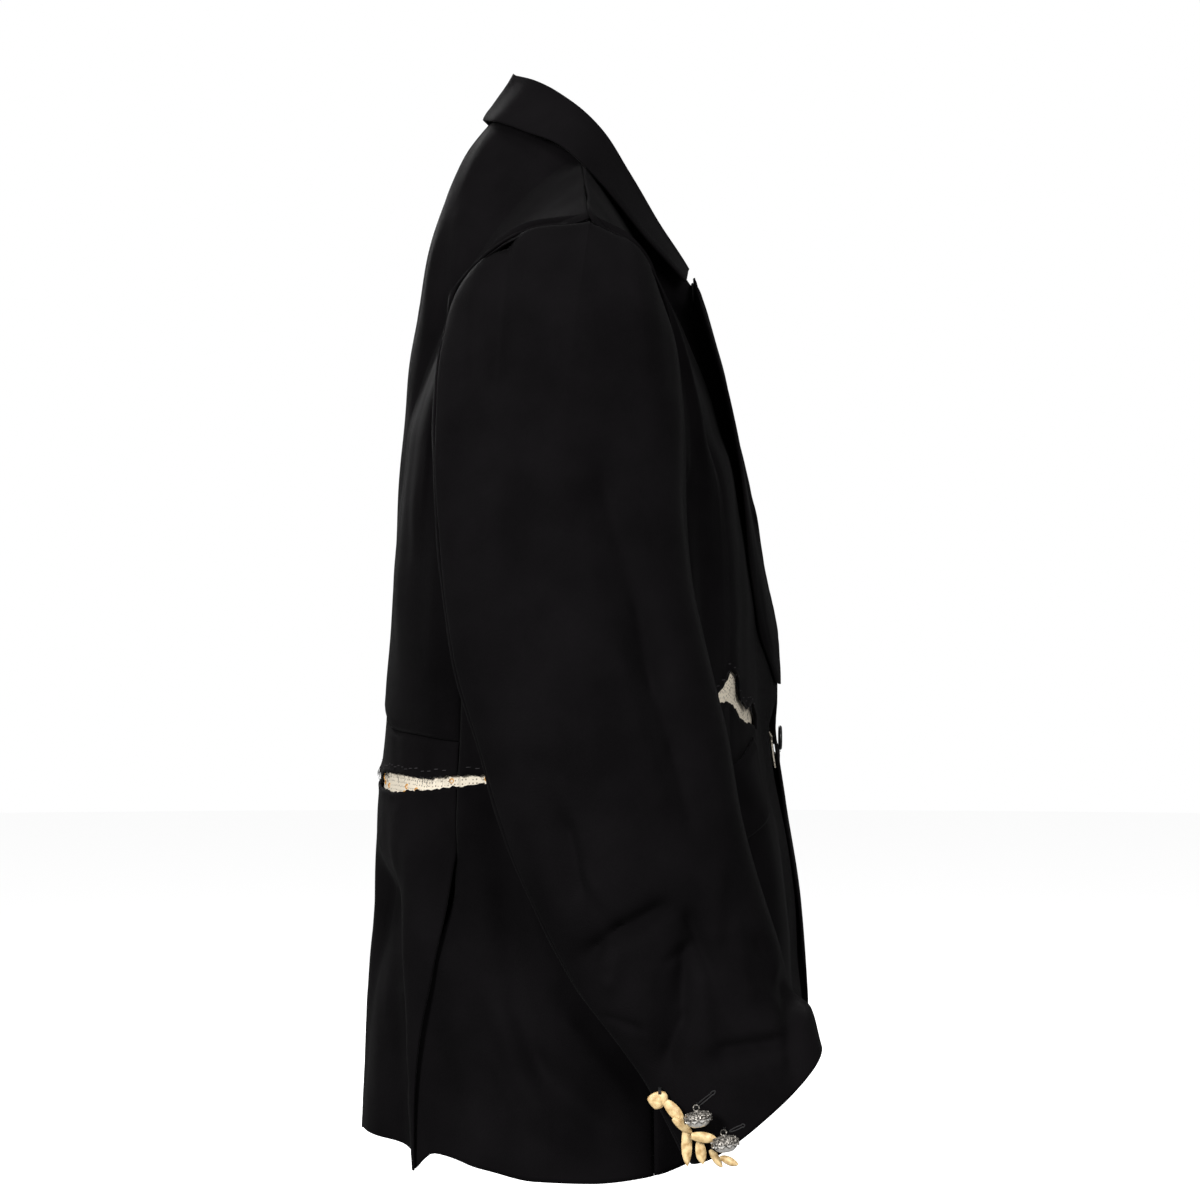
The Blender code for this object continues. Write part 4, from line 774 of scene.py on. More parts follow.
# %% Tables of the sleeve
Armhole = namedtuple("Armhole", "around turn lx ly lz pull")
FRONT_ARMHOLE = [
    Armhole(0, 128, -0.93, 0.0, -0.36, 150), Armhole(30, 125.5, -0.95, -0.15, -0.28, 130),
    Armhole(55, 123, -0.90, -0.35, -0.25, 105), Armhole(75, 120, -0.85, -0.60, -0.15, 85),
    Armhole(95, 117, -0.85, -0.58, -0.20, 70), Armhole(120, 112, -0.93, -0.25, -0.26, 55),
    Armhole(150, 104, -0.95, -0.05, -0.30, 26), Armhole(180, 88, -0.96, 0.0, -0.28, 16),
]
BACK_ARMHOLE = [
    Armhole(180, 88, -0.96, 0.0, -0.28, 16), Armhole(210, 73, -0.95, 0.10, -0.30, 26),
    Armhole(240, 64, -0.88, 0.38, -0.28, 55), Armhole(262, 61, -0.80, 0.55, -0.25, 75),
    Armhole(285, 58, -0.82, 0.52, -0.22, 95), Armhole(310, 55.5, -0.93, 0.30, -0.20, 120),
    Armhole(335, 53, -0.96, 0.10, -0.25, 140), Armhole(360, 50, -0.93, 0.0, -0.36, 150),
]
Arm = namedtuple("Arm", "along fy fz by bz cx thick lead")
ARM = [
    Arm(0.00, -86, -372, 96, -372, -250, 48, 0), Arm(0.10, -95, -410, 89, -416, -252, 49, 0),
    Arm(0.22, -104, -452, 72, -472, -254, 49, 0), Arm(0.34, -110, -484, 60, -515, -256, 48, 0),
    Arm(0.46, -118, -524, 43, -562, -258, 46, 0), Arm(0.58, -129, -566, 22, -606, -260, 44, 0),
    Arm(0.70, -141, -608, -3, -650, -262, 42, 2), Arm(0.82, -153, -645, -27, -681, -264, 40, 6),
    Arm(0.91, -166, -657, -49, -712, -266, 38, 8), Arm(1.00, -172, -680, -76, -764, -268, 36, 12),
]
BACK_SLEEVE_SEAM, FRONT_SLEEVE_SEAM, SLEEVE_START = 281.0, 108.0, 2.8
print(len(ARM), "sections of the arm")


# %% The sleeve's surface
def arm_section(around, along):
    """Points of the arm's tube: around in degrees, along from the bicep (0) to the cuff (1)."""
    angle = np.radians(around)
    row = {name: read(ARM, "along", name, along) for name in Arm._fields[1:]}
    front = np.stack([row["fy"], row["fz"]], axis=-1)
    back = np.stack([row["by"], row["bz"]], axis=-1)
    reach = (front - back) / 2
    down = unit(np.stack([-reach[..., 1], reach[..., 0]], axis=-1))
    down = np.where(down[..., 1:] > 0, -down, down)
    squash = (np.abs(np.cos(angle)) ** 2.3 + np.abs(np.sin(angle)) ** 2.3) ** (-1 / 2.3)
    side = np.cos(angle) * squash
    ahead = row["lead"] * np.where(side > 0, side, side * 0.4)
    flat = (front + back) / 2 + reach * (np.sin(angle) * squash)[..., None] + down * ahead[..., None]
    return np.stack([row["cx"] - row["thick"] * side, flat[..., 0], flat[..., 1]], axis=-1)


def armhole_at(turn):
    """A point of the armhole's edge, the sleeve's way from it, and the pull along that way."""
    loop, edge = (FRONT_ARMHOLE, FRONT_EDGE) if turn < 180 else (BACK_ARMHOLE, BACK_EDGE)
    at = np.array([turn])
    leave = unit(np.array([read(loop, "around", name, at)[0] for name in ("lx", "ly", "lz")]))
    place = edge_points(edge, read(loop, "around", "turn", at))[0]
    return place, leave, read(loop, "around", "pull", at)[0]


def sleeve_cap(turns, parts):
    """The sleeve from the armhole (part 0) to the bicep (part 1)."""
    columns = []
    for turn in turns % 360:
        place, leave, pull = armhole_at(turn)
        start = place + leave * SLEEVE_START
        at = np.array([turn])
        end = arm_section(at, np.array([0.0]))[0]
        arrive = unit(arm_section(at, np.array([0.04]))[0] - end)
        arrive = arrive * max(start[2] - end[2], 12.0) * 1.1
        columns.append(np.array([hermite(start, leave * pull, end, arrive, part)
                                 for part in parts]))
    return np.stack(columns, axis=1)


def sleeve_grid(start, end, cols, cap_rows, arm_rows):
    """A stretch of the sleeve between two seams, with its folds."""
    gap = math.degrees(SLEEVE_SEAM_GAP / 2 / 50)
    turns = np.linspace(start + gap, end - gap, int(cols * FINE))
    cap = sleeve_cap(turns, np.linspace(0, 1, int(cap_rows * FINE)))
    along = np.linspace(0, 1, int(arm_rows * FINE))[1:, None]
    points = np.concatenate([cap, arm_section(turns[None, :] + 0 * along, along + 0 * turns)])
    across, down = np.gradient(points, axis=1), np.gradient(points, axis=0)
    out = unit(np.cross(down, across))
    share = step_up(np.cos(np.radians(turns)), -0.15, 0.35)
    return points, out, share


print("sleeve surface ready")

# %% Sleeves
def on_sleeve(points, out, share, seed, hand):
    """Press the coarse and the fine folds of a sleeve."""
    heights = fold_height(SLEEVE_FOLDS, points[..., 1], points[..., 2])
    finer = fold_height(FINE_SLEEVE, points[..., 1], points[..., 2]) * FOLD_SHARE[hand]
    heights = (heights + finer) * share + 0.8 * ripple(points, seed)
    return points + out * heights[..., None]


TOP, UNDER = (BACK_SLEEVE_SEAM, 360 + FRONT_SLEEVE_SEAM), (FRONT_SLEEVE_SEAM, BACK_SLEEVE_SEAM)
for hand in ("right", "left"):
    for name, ends, cols, seed, flat, area in (("top", TOP, 170, 51, (0.27, 0.68), 0.14),
                                               ("under", UNDER, 90, 53, (0.22, 0.52), 0.095)):
        points, out, share = sleeve_grid(*ends, cols, 90, 230)
        shaped = on_sleeve(points, out, share, seed + (hand == "left"), hand)
        shaped = seamed(shaped, out, ("first", "last", "top"), depth=0.9)
        sewn("sleeve_" + name, hand, shaped, flat, area, out=out)
print("sleeves", points.shape)

# %% [markdown]
# ## Collar, lapels and pocket flaps
# These pieces lie over the body. The collar and the lapels are lifted by rays: each point looks
# back at the cloth under it and moves out until it stands a little clear, and the pocket flaps
# stand a fixed height off the front. The lifts are blurred afterwards, because heavy cloth bridges
# small folds and doesn't follow each of them.

# %% Laying cloth over cloth
def tree_of(*pieces):
    """A search tree over the outer faces of some pieces, in mm."""
    corners, faces = [], []
    for made in pieces:
        first = len(corners)
        corners += [tuple(v.co / MM) for v in made.data.vertices]
        faces += [[first + index for index in face.vertices] for face in made.data.polygons]
    return BVHTree.FromPolygons(corners, faces)


def blurred(values, times, axes=(0, 1)):
    """Average each value of a grid with its neighbours, again and again."""
    for _ in range(times):
        for axis in axes:
            values = np.moveaxis(values, axis, 0)
            wide = np.concatenate([values[:1], values, values[-1:]])
            values = np.moveaxis(wide[:-2] * 0.25 + values * 0.5 + wide[2:] * 0.25, 0, axis)
    return values


def rise(points, ways, tree, gap, start=50.0):
    """How far each point has to move along its way to stand a gap off the cloth under it."""
    found = np.zeros(points.shape[:2])
    for row in range(points.shape[0]):
        for col in range(points.shape[1]):
            way = Vector(ways[row, col])
            hit = tree.ray_cast(Vector(points[row, col]) + way * start, -way, start + gap)
            if hit[0] is not None:
                found[row, col] = start + gap - hit[3]
    return found


COLLECTED = {made.name: made for made in bpy.data.objects if "_cloth" in made.name}
print(len(COLLECTED), "pieces so far")

# %% Collar
Collar = namedtuple("Collar", "part rx ry rz fx fy fz sx sy sz")
COLLAR = [
    Collar(0.00, 0, 51, 42, 0, 75, 7, 0, 57, 13),
    Collar(0.15, -35, 34, 33, -37, 66, 2, -33, 47, 5),
    Collar(0.27, -53, 17, 22, -66, 45, -8, -58, 23, -11),
    Collar(0.40, -63, -1, 8, -90, 17, -22, -71, -1, -25),
    Collar(0.52, -65, -19, -13, -99, -6, -42, -70, -20, -45),
    Collar(0.66, -63, -38, -42, -101, -29, -68, -67, -40, -66),
    Collar(0.83, -57, -59, -78, -99, -56, -101, -60, -61, -92),
    Collar(1.00, -50, -82, -114, -94, -80, -126, -51, -80, -117),
]
COLLAR_CLEAR = 1.6

parts = np.linspace(0, 1, int(90 * FINE))
seam, roll, free = (np.stack([read(COLLAR, "part", first + axis, parts) for axis in "xyz"], axis=-1)
                    for first in "srf")
swell = unit(np.stack([roll[:, 0], roll[:, 1] * 0.3, 8.0 + 0 * parts], axis=-1))
swell[0] = (0, 0, 1)
shares = (-0.16, 0.5, 0.86)    # the stand's lower edge is turned in below the neck seam
coarse = [seam + (roll - seam) * share for share in shares] + [roll + swell * 1.2]
coarse += [roll + (free - roll) * share for share in (0.16, 0.44, 0.72, 1.0)]
coarse = np.stack(coarse)
marks = np.array([0.0, 1.0, 1.72, 2.1, 2.5, 3.6, 4.8, 6.0])
fine_marks = np.linspace(0, 6, int(64 * FINE))
half = np.stack([np.stack([smooth(marks, coarse[:, col, axis], fine_marks) for axis in range(3)],
                          axis=-1) for col in range(len(parts))], axis=1)
collar = np.concatenate([(half * np.array([-1.0, 1.0, 1.0]))[:, ::-1], half[:, 1:]], axis=1)
out = unit(np.cross(np.gradient(collar, axis=0), np.gradient(collar, axis=1)))
out = out if out[-1, out.shape[1] // 2, 1] > 0 else -out
body_tree = tree_of(*[COLLECTED[name] for name in COLLECTED
                      if name.startswith(("back_upper", "front"))])
lift = rise(collar, out, body_tree, COLLAR_CLEAR)
lift[fine_marks < 2.3] = 0
collar = collar + out * (blurred(lift, 3) + CLOTH + 0.7 * ripple(collar, 61))[..., None]
collar = seamed(collar, out, ("bottom",), depth=0.7, wide=1.6)
sewn("collar", None, collar, (0.46, 0.10), 0.034, out=out)
print("collar", collar.shape, "lifted up to", lift.max().round(1), "mm")

# %% Lapels
Lapel = namedtuple("Lapel", "rx ry rz ex ey ez stand")
LAPEL = [
    Lapel(-48, -86, -124, -117, -88, -125, 1), Lapel(-44, -96, -152, -114, -97, -158, 2),
    Lapel(-38, -109, -212, -105, -113, -214, 3), Lapel(-34, -120, -260, -97, -122, -262, 3),
    Lapel(-31, -129, -297, -89, -127, -296, 3), Lapel(-25, -141, -345, -75, -131, -342, 3),
    Lapel(-20, -149, -380, -61, -135, -378, 3), Lapel(-15, -153, -412, -42, -144, -409, 2),
    Lapel(-13, -152, -432, -24, -150, -431, 0),
]
NOTCH_DROP, NOTCH_AT, LAPEL_CLEAR, ROLL_PAST = 17.0, 0.62, 2.6, 1.0


def roll_edge(tree, side, height):
    """A front's edge near a height: x of its furthest reach, and its range in y there."""
    found = []
    for step in (-9, -4, 0, 4, 9):
        for depth in np.arange(-165.0, -60.0, 1.5):
            start = Vector((side * 12.0, depth, height + step))
            hit = tree.ray_cast(start, Vector((-side, 0.0, 0.0)), 90)[0]
            if hit is not None:
                found.append((side * hit[0], hit[1]))
    reach = max(found)[0]
    near = [y for x, y in found if x > reach - 3]
    return reach, max(near), min(near)


def lapel_grid(rows, cols):
    """One lapel from its roll to its free edge, with the notch in its top edge."""
    keys = np.arange(len(LAPEL), dtype=float)
    place = np.linspace(0, len(LAPEL) - 1, rows)
    row = {name: smooth(keys, column(LAPEL, name), place)[:, None] for name in Lapel._fields}
    share = np.linspace(0, 1, cols)[None, :]
    x = row["rx"] + (row["ex"] - row["rx"]) * share
    y = row["ry"] + (row["ey"] - row["ry"]) * share - row["stand"] * 4 * share * (1 - share)
    z = row["rz"] + (row["ez"] - row["rz"]) * share
    notch = np.maximum(0.0, 1 - np.abs(share - NOTCH_AT) / 0.34)
    z = z - NOTCH_DROP * notch * np.maximum(0.0, 1 - place[:, None] / 2.5)
    return np.stack([x, y, z], axis=-1)


for hand in ("right", "left"):
    side = 1.0 if hand == "right" else -1.0
    tree = tree_of(COLLECTED["front_cloth_" + hand])
    points = lapel_grid(int(130 * FINE), int(44 * FINE)) * np.array([side, 1.0, 1.0])
    forward = np.broadcast_to(np.array([0.0, -1.0, 0.0]), points.shape)
    lift = rise(points, forward, tree, LAPEL_CLEAR + CLOTH, start=60.0)
    for col in reversed(range(points.shape[1] - 1)):
        lift[:, col] = np.where(lift[:, col] > 0, lift[:, col], lift[:, col + 1])
    lift = np.maximum(blurred(lift, 6), lift - 0.8)
    points[..., 1] -= lift + 0.5 * ripple(points, 63)
    under, crest = [], []
    for row in points:
        edge_x, edge_back, edge_front = roll_edge(tree, side, row[0, 2])
        x = side * (edge_x + ROLL_PAST + 0.8 * CLOTH)
        crest.append((x, min(row[0, 1], edge_front - LAPEL_CLEAR), row[0, 2]))
        under.append((x, edge_back + 0.5, row[0, 2]))
    under, crest = blurred(np.array(under), 4, (0,)), blurred(np.array(crest), 4, (0,))
    first = np.stack([under + (crest - under) * share for share in np.linspace(0, 1, 8)[:-1]], axis=1)
    second = np.stack([crest + (points[:, 3] - crest) * share for share in np.linspace(0, 1, 8)],
                      axis=1)
    grid = np.concatenate([first, second, points[:, 4:]], axis=1)
    for _ in range(5):
        grid[:, 1:-1] = grid[:, :-2] * 0.25 + grid[:, 1:-1] * 0.5 + grid[:, 2:] * 0.25
    forward = np.broadcast_to(np.array([0.0, -1.0, 0.0]), grid.shape)
    grid = seamed(grid, forward, ("last", "top"), depth=0.7, wide=1.6)
    sewn("lapel", hand, grid, (0.10, 0.33), 0.0215, mirrored=False, out=forward)
print("lapels", grid.shape)

# %% Pocket flaps
Flap = namedtuple("Flap", "turn top bottom")
FLAP = [Flap(116, -502, -556), Flap(118, -500, -560), Flap(124, -494, -556),
        Flap(132, -484, -546), Flap(140, -475, -536), Flap(144, -471, -530),
        Flap(145.5, -470, -520)]
FLAP_CLEAR = 2.2
flap_turns = turns_between(116, 145.5, 60, FLAP)
down = np.linspace(0, 1, int(44 * FINE))[:, None]
flap_top = straight(FLAP, "top", flap_turns)
flap = section(flap_turns[None, :] + 0 * down,
               flap_top + (straight(FLAP, "bottom", flap_turns) - flap_top) * down)
for hand in ("right", "left"):
    shaped = dressed(flap, hand, 71 if hand == "right" else 72, lift=2 * CLOTH + FLAP_CLEAR)
    shaped = seamed(shaped, normals(shaped), ("top",), depth=2.0, wide=5.0)
    shaped = seamed(shaped, normals(shaped), ("first", "last", "bottom"), depth=0.7, wide=1.6)
    sewn("flap", hand, shaped, (0.115, 0.065), 0.0066)
print("flaps", flap.shape)

# %% [markdown]
# ## Turnings behind the seams
# The cut pieces stop a little short of each other, so light would show through every seam. On a
# real jacket the turnings are pressed open behind it. Each seam gets a narrow strip of the same
# wool, set just behind the cloth on the same surface, and the armhole gets a ring.

# %% Strips of turnings
# step along the sleeve's way and shift in from the edge, in mm, from the body into the sleeve
ARMHOLE_STRIP = ((-5.5, -4), (-5, 0), (-1, 2), (3, 2.6), (7, 2.6), (11, 2.6))
UNDER_SEAM, UNDER_SLEEVE, STRIP_THICK = 1.4, 2.6, 0.8
HALF_STRIP, STRIP_TURN, WAIST_STRIP = 2.2, 6.0, 8.0      # degrees, degrees, mm


def turning(name, points, hand, out=None):
    """A strip of pressed-open turnings behind a seam, which closes the fine gap between pieces."""
    piece = cloth(f"turning_{name}_{hand}", points, WOOL, thick=STRIP_THICK, hand=hand, out=out)


def behind(points, hand):
    """Points of the body, folded as the cloth is and set behind it."""
    return dressed(points, hand, 90, lift=-UNDER_SEAM)


across = np.linspace(-HALF_STRIP, HALF_STRIP, 5)[None, :]
down = np.linspace(0, 1, int(120 * FINE))[:, None]
side_front_hem = float(read(HEM, "turn", "z", np.array([SIDE_FRONT_SEAM]))[0]) + 1.5
STRIPS = [("side_back", SIDE_BACK_SEAM, -305, -490), ("vent_top", SIDE_BACK_SEAM, -512, -554),
          ("side_front", SIDE_FRONT_SEAM, -322, side_front_hem), ("centre", HALF_STRIP, -436, -766)]
for hand in ("right", "left"):
    for name, middle, top, low in STRIPS:
        strip = section(middle + across + 0 * down, top + (low - top) * down + 0 * across)
        turning(name, behind(strip, hand), hand)
    upper = body_grid(np.linspace(0, 2 * HALF_STRIP, 5), np.linspace(0.015, 1, int(90 * FINE)), -438.0)
    turning("centre_upper", behind(upper, hand), hand)
    along = np.linspace(0.6, SIDE_BACK_SEAM - 1, int(90 * FINE))[None, :]
    level = read(WAIST_SEAM, "turn", "z", along[0])[None, :]
    strip = section(along + 0 * across.T, level + WAIST_STRIP * np.linspace(1, -1, 5)[:, None])
    turning("waist", behind(strip, hand), hand)
    # round the armhole, from inside the body to inside the sleeve
    round_it = [armhole_at(turn) for turn in np.linspace(0, 359.9, int(140 * FINE))]
    starts, leaves = np.array([at[0] for at in round_it]), np.array([at[1] for at in round_it])
    inward = starts.mean(axis=0) - starts
    inward = unit(inward - leaves * (inward * leaves).sum(axis=1)[:, None])
    ring = np.stack([starts + leaves * step + inward * shift for step, shift in ARMHOLE_STRIP])
    turning("armhole", ring, hand, out=np.broadcast_to(-inward, ring.shape))
    # along both seams of the sleeve
    for name, seam in (("back_sleeve", BACK_SLEEVE_SEAM), ("front_sleeve", FRONT_SLEEVE_SEAM)):
        points, out, share = sleeve_grid(seam - STRIP_TURN, seam + STRIP_TURN, 7 / FINE, 50, 110)
        strip = on_sleeve(points, out, share, 51, hand) - out * UNDER_SLEEVE
        turning(name, strip, hand, out=out)

# %% [markdown]
# ## Eyelet cloth in the tears
# Behind each tear lies a strip of cream cotton, pierced in rows of tiny holes. The holes are in
# the material, set out by the strip's own UV lengths, and are painted dark brown as painted
# shade; the few larger eyelets have rims of orange-yellow thread and are rings on the cloth.

# %% Cream cloth and coloured threads
CREAM = (0.80, 0.72, 0.58)


def eyelet_finish():
    """Cream cotton with staggered rows of small pierced holes, each painted dark brown as painted
    shade.
    """
    made, tree, shader = new_finish("eyelet cloth", CREAM, 0.85)
    uv = tree.nodes.new("ShaderNodeUVMap")
    uv.uv_map = "weave"
    cells = tree.nodes.new("ShaderNodeTexVoronoi")
    cells.inputs["Scale"].default_value = 330.0
    cells.inputs["Randomness"].default_value = 0.22
    tree.links.new(uv.outputs[0], cells.inputs["Vector"])
    # painted shade: each hole is coloured dark brown in place of the shade inside it
    tones(tree, shader, cells.outputs["Distance"], 0.16, (0.16, 0.13, 0.10), 0.24, CREAM)
    relief(tree, shader, (noise(tree, uv.outputs[0], 900.0), 0.0002, 0.5),
           (cells.outputs["Distance"], 0.0006, 0.5))
    return made


EYELET = eyelet_finish()
AMBER, _, _ = new_finish("orange-yellow thread", (0.62, 0.30, 0.05), 0.6)
THREAD, _, _ = new_finish("black thread", (0.006, 0.0055, 0.006), 0.8)
GREY_THREAD, _, _ = new_finish("grey thread", (0.03, 0.027, 0.03), 0.8)

PATCH_SPARE, PATCH_DEPTH, UNDER_CLOTH = 9.0, 1.3, 1.0
PATCH_FULL = 0.8      # the share of its flat box that a strip fills


def patch(rip, start, end, cols):
    """A strip behind a tear, from the same surface as the wool."""
    turns = turns_between(start, end, cols, rip)
    high, low = straight(rip, "upper", turns) + PATCH_SPARE, straight(rip, "lower", turns) - PATCH_SPARE
    down = np.linspace(0, 1, int(24 * FINE))[:, None]
    return section(turns[None, :] + 0 * down, high + (low - high) * down)


for hand, front_rip, front_end, wide in (("right", FRONT_RIP, 156, 0.115),
                                         ("left", LEFT_RIP, 185, 0.19)):
    for name, rip, start, end, cols, flat in (
            ("back", BACK_RIP, 1.0, SIDE_BACK_SEAM - 0.02, 110, (0.21, 0.032)),
            ("side", SIDE_RIP, SIDE_BACK_SEAM + 0.02, 79, 40, (0.06, 0.030)),
            ("front", front_rip, 118, front_end, 90, (wide, 0.05))):
        strip = dressed(patch(rip, start, end, cols), hand, 81, lift=-PATCH_DEPTH)
        sewn("eyelet_" + name, hand, strip, flat, PATCH_FULL * flat[0] * flat[1],
             finish=EYELET, slot="eyelet_cloth", thick=UNDER_CLOTH)
print("six strips of eyelet cloth")

# %% [markdown]
# ## Threads and stitches
# Frayed ends hang from the torn edges and a few strands cross the openings. Short running
# stitches follow the tears at an uneven distance. Each strand is a thin square tube along its
# points; all those of one colour are joined to one object.

# %% Strands
def skin(mesh, rings):
    """Join neighbouring rings of vertices by faces, and close both ends."""
    for low, high in zip(rings[:-1], rings[1:]):
        for step in range(len(low)):
            after = (step + 1) % len(low)
            mesh.faces.new([low[step], low[after], high[after], high[step]])
    mesh.faces.new(rings[0][::-1])
    mesh.faces.new(rings[-1])


def tube(mesh, points, radius, sides=4):
    """A thin tube along points in mm, closed at its ends."""
    points = np.array(points, dtype=float)
    ways = unit(np.gradient(points, axis=0))
    rings = []
    for place, way in zip(points, ways):
        across = unit(np.cross(way, (0.31, 0.53, 0.79)))
        other = np.cross(way, across)
        turns = np.arange(sides) * 2 * math.pi / sides
        rings.append([mesh.verts.new((place + radius * (across * math.cos(turn)
                                                        + other * math.sin(turn))) * MM)
                      for turn in turns])
    skin(mesh, rings)


def on_cloth(tree, turn, z, hand, out=0.0):
    """A place on the cloth's outer face, found by a ray from outside, and its way out."""
    side = 1.0 if hand == "right" else -1.0
    place = section(np.array([turn]), np.array([z]))[0] * np.array([side, 1.0, 1.0])
    way = Vector((place[0], place[1], 0.0)).normalized()
    hit = tree.ray_cast(Vector(place) + way * 60, -way, 120)[0]
    return (np.array(hit) if hit is not None else place) + np.array(way) * out, np.array(way)


def closed(mesh):
    bmesh.ops.recalc_face_normals(mesh, faces=mesh.faces)
    return mesh


# start, end: where threads fray, low, high: where the stitches run, all in turns
Tear = namedtuple("Tear", "hand name rip cloth start end low high")
TEARS = [Tear("right", "back", BACK_RIP, "back_skirt_cloth_right", 2, 61, 2, 62),
         Tear("left", "back", BACK_RIP, "back_skirt_cloth_left", 2, 61, 2, 62),
         Tear("right", "side", SIDE_RIP, "side_cloth_right", 66, 76, 66, 76),
         Tear("left", "side", SIDE_RIP, "side_cloth_left", 66, 76, 66, 76),
         Tear("right", "front", FRONT_RIP, "front_cloth_right", 124, 150, 121, 151),
         Tear("left", "front", LEFT_RIP, "front_cloth_left", 124, 180, 121, 181)]
frays, stitches = bmesh.new(), bmesh.new()
count = 0
for hand, name, rip, cloth_name, start, end, low, high in TEARS:
    tree = tree_of(bpy.data.objects[cloth_name])
    chance = random.Random(7 + len(name) + (hand == "left") * 5)
    for _ in range(int((end - start) * (0.85 if name == "front" else 0.55))):
        turn = chance.uniform(start, end)
        wide = float(straight(rip, "upper", turn) - straight(rip, "lower", turn))
        if wide < 1.0:
            continue
        place, way = on_cloth(tree, turn, float(straight(rip, "upper", turn)) + 0.8, hand, 0.2)
        across = np.array([-way[1], way[0], 0.0]) * chance.choice((-1, 1))
        long = chance.uniform(2.5, 5.0) + 0.35 * wide * chance.random()
        points = []
        for part in np.linspace(0, 1, 6):
            swing = across * long * 0.45 * math.sin(part * chance.uniform(1.5, 3.0))
            points.append(place + swing + way * (0.6 + 0.8 * math.sin(part * 3)) * part
                          + np.array([0, 0, -long * part]))
        tube(frays, points, chance.uniform(0.13, 0.2), 3)
        count += 1
    turn = low
    while turn < high:
        z = float(straight(rip, "upper", turn)) + 5.2 + 0.9 * math.sin(turn * 0.9)
        ends = [on_cloth(tree, turn + step, z + rise_by, hand, out)[0]
                for step, rise_by, out in ((0, 0, -0.1), (0.25, 0.1, 0.3), (0.75, 0.2, 0.3),
                                           (1.0, 0.3, -0.1))]
        tube(stitches, ends, 0.24, 4)
        turn += chance.uniform(1.9, 2.6)
        count += 1
for name, mesh, finish in (("frayed_ends", frays, THREAD), ("running_stitches", stitches,
                                                            GREY_THREAD)):
    finished(name, closed(mesh), finish)
print(count, "strands and stitches")

# %% Eyelet rims
rims = bmesh.new()
RIM_PLACES = [(10.5, -500.5), (17, -503), (47, -505.5), (51.5, -507.5), (46, -510.5), (53, -512),
              (28, -505), (34.5, -506.5), (62, -499.5), (70.5, -497.5)]
for hand in ("right", "left"):
    for turn, z in RIM_PLACES:
        name = "eyelet_back_cloth_" if turn < SIDE_BACK_SEAM else "eyelet_side_cloth_"
        place, way = on_cloth(tree_of(bpy.data.objects[name + hand]), turn, z, hand, 0.15)
        across = np.array([-way[1], way[0], 0.0])
        ring = [place + (across * math.cos(angle) + np.array([0, 0, 1.0]) * math.sin(angle)) * 1.6
                for angle in np.linspace(0, 2 * math.pi, 13)[:-1]]
        rings = []
        for corner in ring:
            radial = unit(corner - place)
            rings.append([rims.verts.new((corner + 0.55 * (radial * math.cos(a) + way * math.sin(a)))
                                         * MM) for a in (0, 2.1, 4.2)])
        for first, after in zip(rings, rings[1:] + rings[:1]):
            for step in range(3):
                rims.faces.new([first[step], first[(step + 1) % 3], after[(step + 1) % 3],
                                after[step]])
finished("eyelet_rims", closed(rims), AMBER)
print(len(RIM_PLACES) * 2, "rims")

# %% [markdown]
# ## Cuff trim
# A carved bone button, two silver beads and seven bone petals are sewn to each cuff along its
# edge. The beads are bowls under a scalloped filigree shoulder, with tarnish left in the recesses
# and a wire loop on top. Each petal is a blade with a low ridge between two facets.

# %% Bone, silver and horn
def bone_finish():
    """Warm, waxed bone with darker streaks."""
    made, tree, shader = new_finish("bone", (0.78, 0.58, 0.30), 0.42)
    streak = noise(tree, tree.nodes.new("ShaderNodeTexCoord").outputs["Object"], 260.0, 4.0)
    tones(tree, shader, streak, 0.3, (0.42, 0.25, 0.09), 0.62, (0.80, 0.60, 0.31))
    relief(tree, shader, (streak, 0.0003, 0.35))
    return made


def silver_finish(name, roughness, tarnished):
    """Silver: the polished bowl, or the filigree with tarnish in its recesses."""
    made, tree, shader = new_finish(name, (0.86, 0.84, 0.80), roughness, 0.55 if tarnished else 0.3)
    place = tree.nodes.new("ShaderNodeTexCoord").outputs["Object"]
    if not tarnished:
        relief(tree, shader, (noise(tree, place, 350.0), 0.00005, 0.6))
        return made
    cells = tree.nodes.new("ShaderNodeTexVoronoi")
    cells.inputs["Scale"].default_value = 900.0
    tree.links.new(place, cells.inputs["Vector"])
    far = cells.outputs["Distance"]
    tones(tree, shader, far, 0.25, (0.62, 0.58, 0.52), 0.6, (0.05, 0.045, 0.04))
    relief(tree, shader, (far, 0.0004, 0.6))
    return made


BONE = bone_finish()
BOWL = silver_finish("polished silver", 0.28, False)
FILIGREE = silver_finish("filigree", 0.4, True)
HORN, _, _ = new_finish("black horn", (0.008, 0.008, 0.009), 0.35)

# %% Places of the trim
Trim = namedtuple("Trim", "name y z")
BEADS = [Trim("bead_upper", -84.0, -729.0), Trim("bead_lower", -103.0, -746.0)]
BONE_BUTTON = Trim("bone_button", -56.0, -718.5)
Petal = namedtuple("Petal", "name y z long wide lean out")
PETALS = [
    Petal("petal_1", -68.0, -726.0, 19, 8.5, 46, 2.0),
    Petal("petal_2", -73.5, -735.5, 17, 6.5, 58, 5.0),
    Petal("petal_3", -76.5, -750.5, 27, 7.5, 4, 2.4),
    Petal("petal_4", -88.5, -743.0, 18, 7.5, 88, 6.0),
    Petal("petal_5", -86.5, -754.5, 16, 7.5, 14, 3.4),
    Petal("petal_6", -97.0, -758.5, 15, 5.5, 40, 2.2),
    Petal("petal_7", -106.0, -759.5, 14, 6.0, 72, 6.0),
]
PETAL_THICK, PETAL_ROWS, PETAL_COLS, BROAD = 1.5, 19, 9, 7.0
CUFF_TREE = tree_of(bpy.data.objects["sleeve_top_cloth_right"])


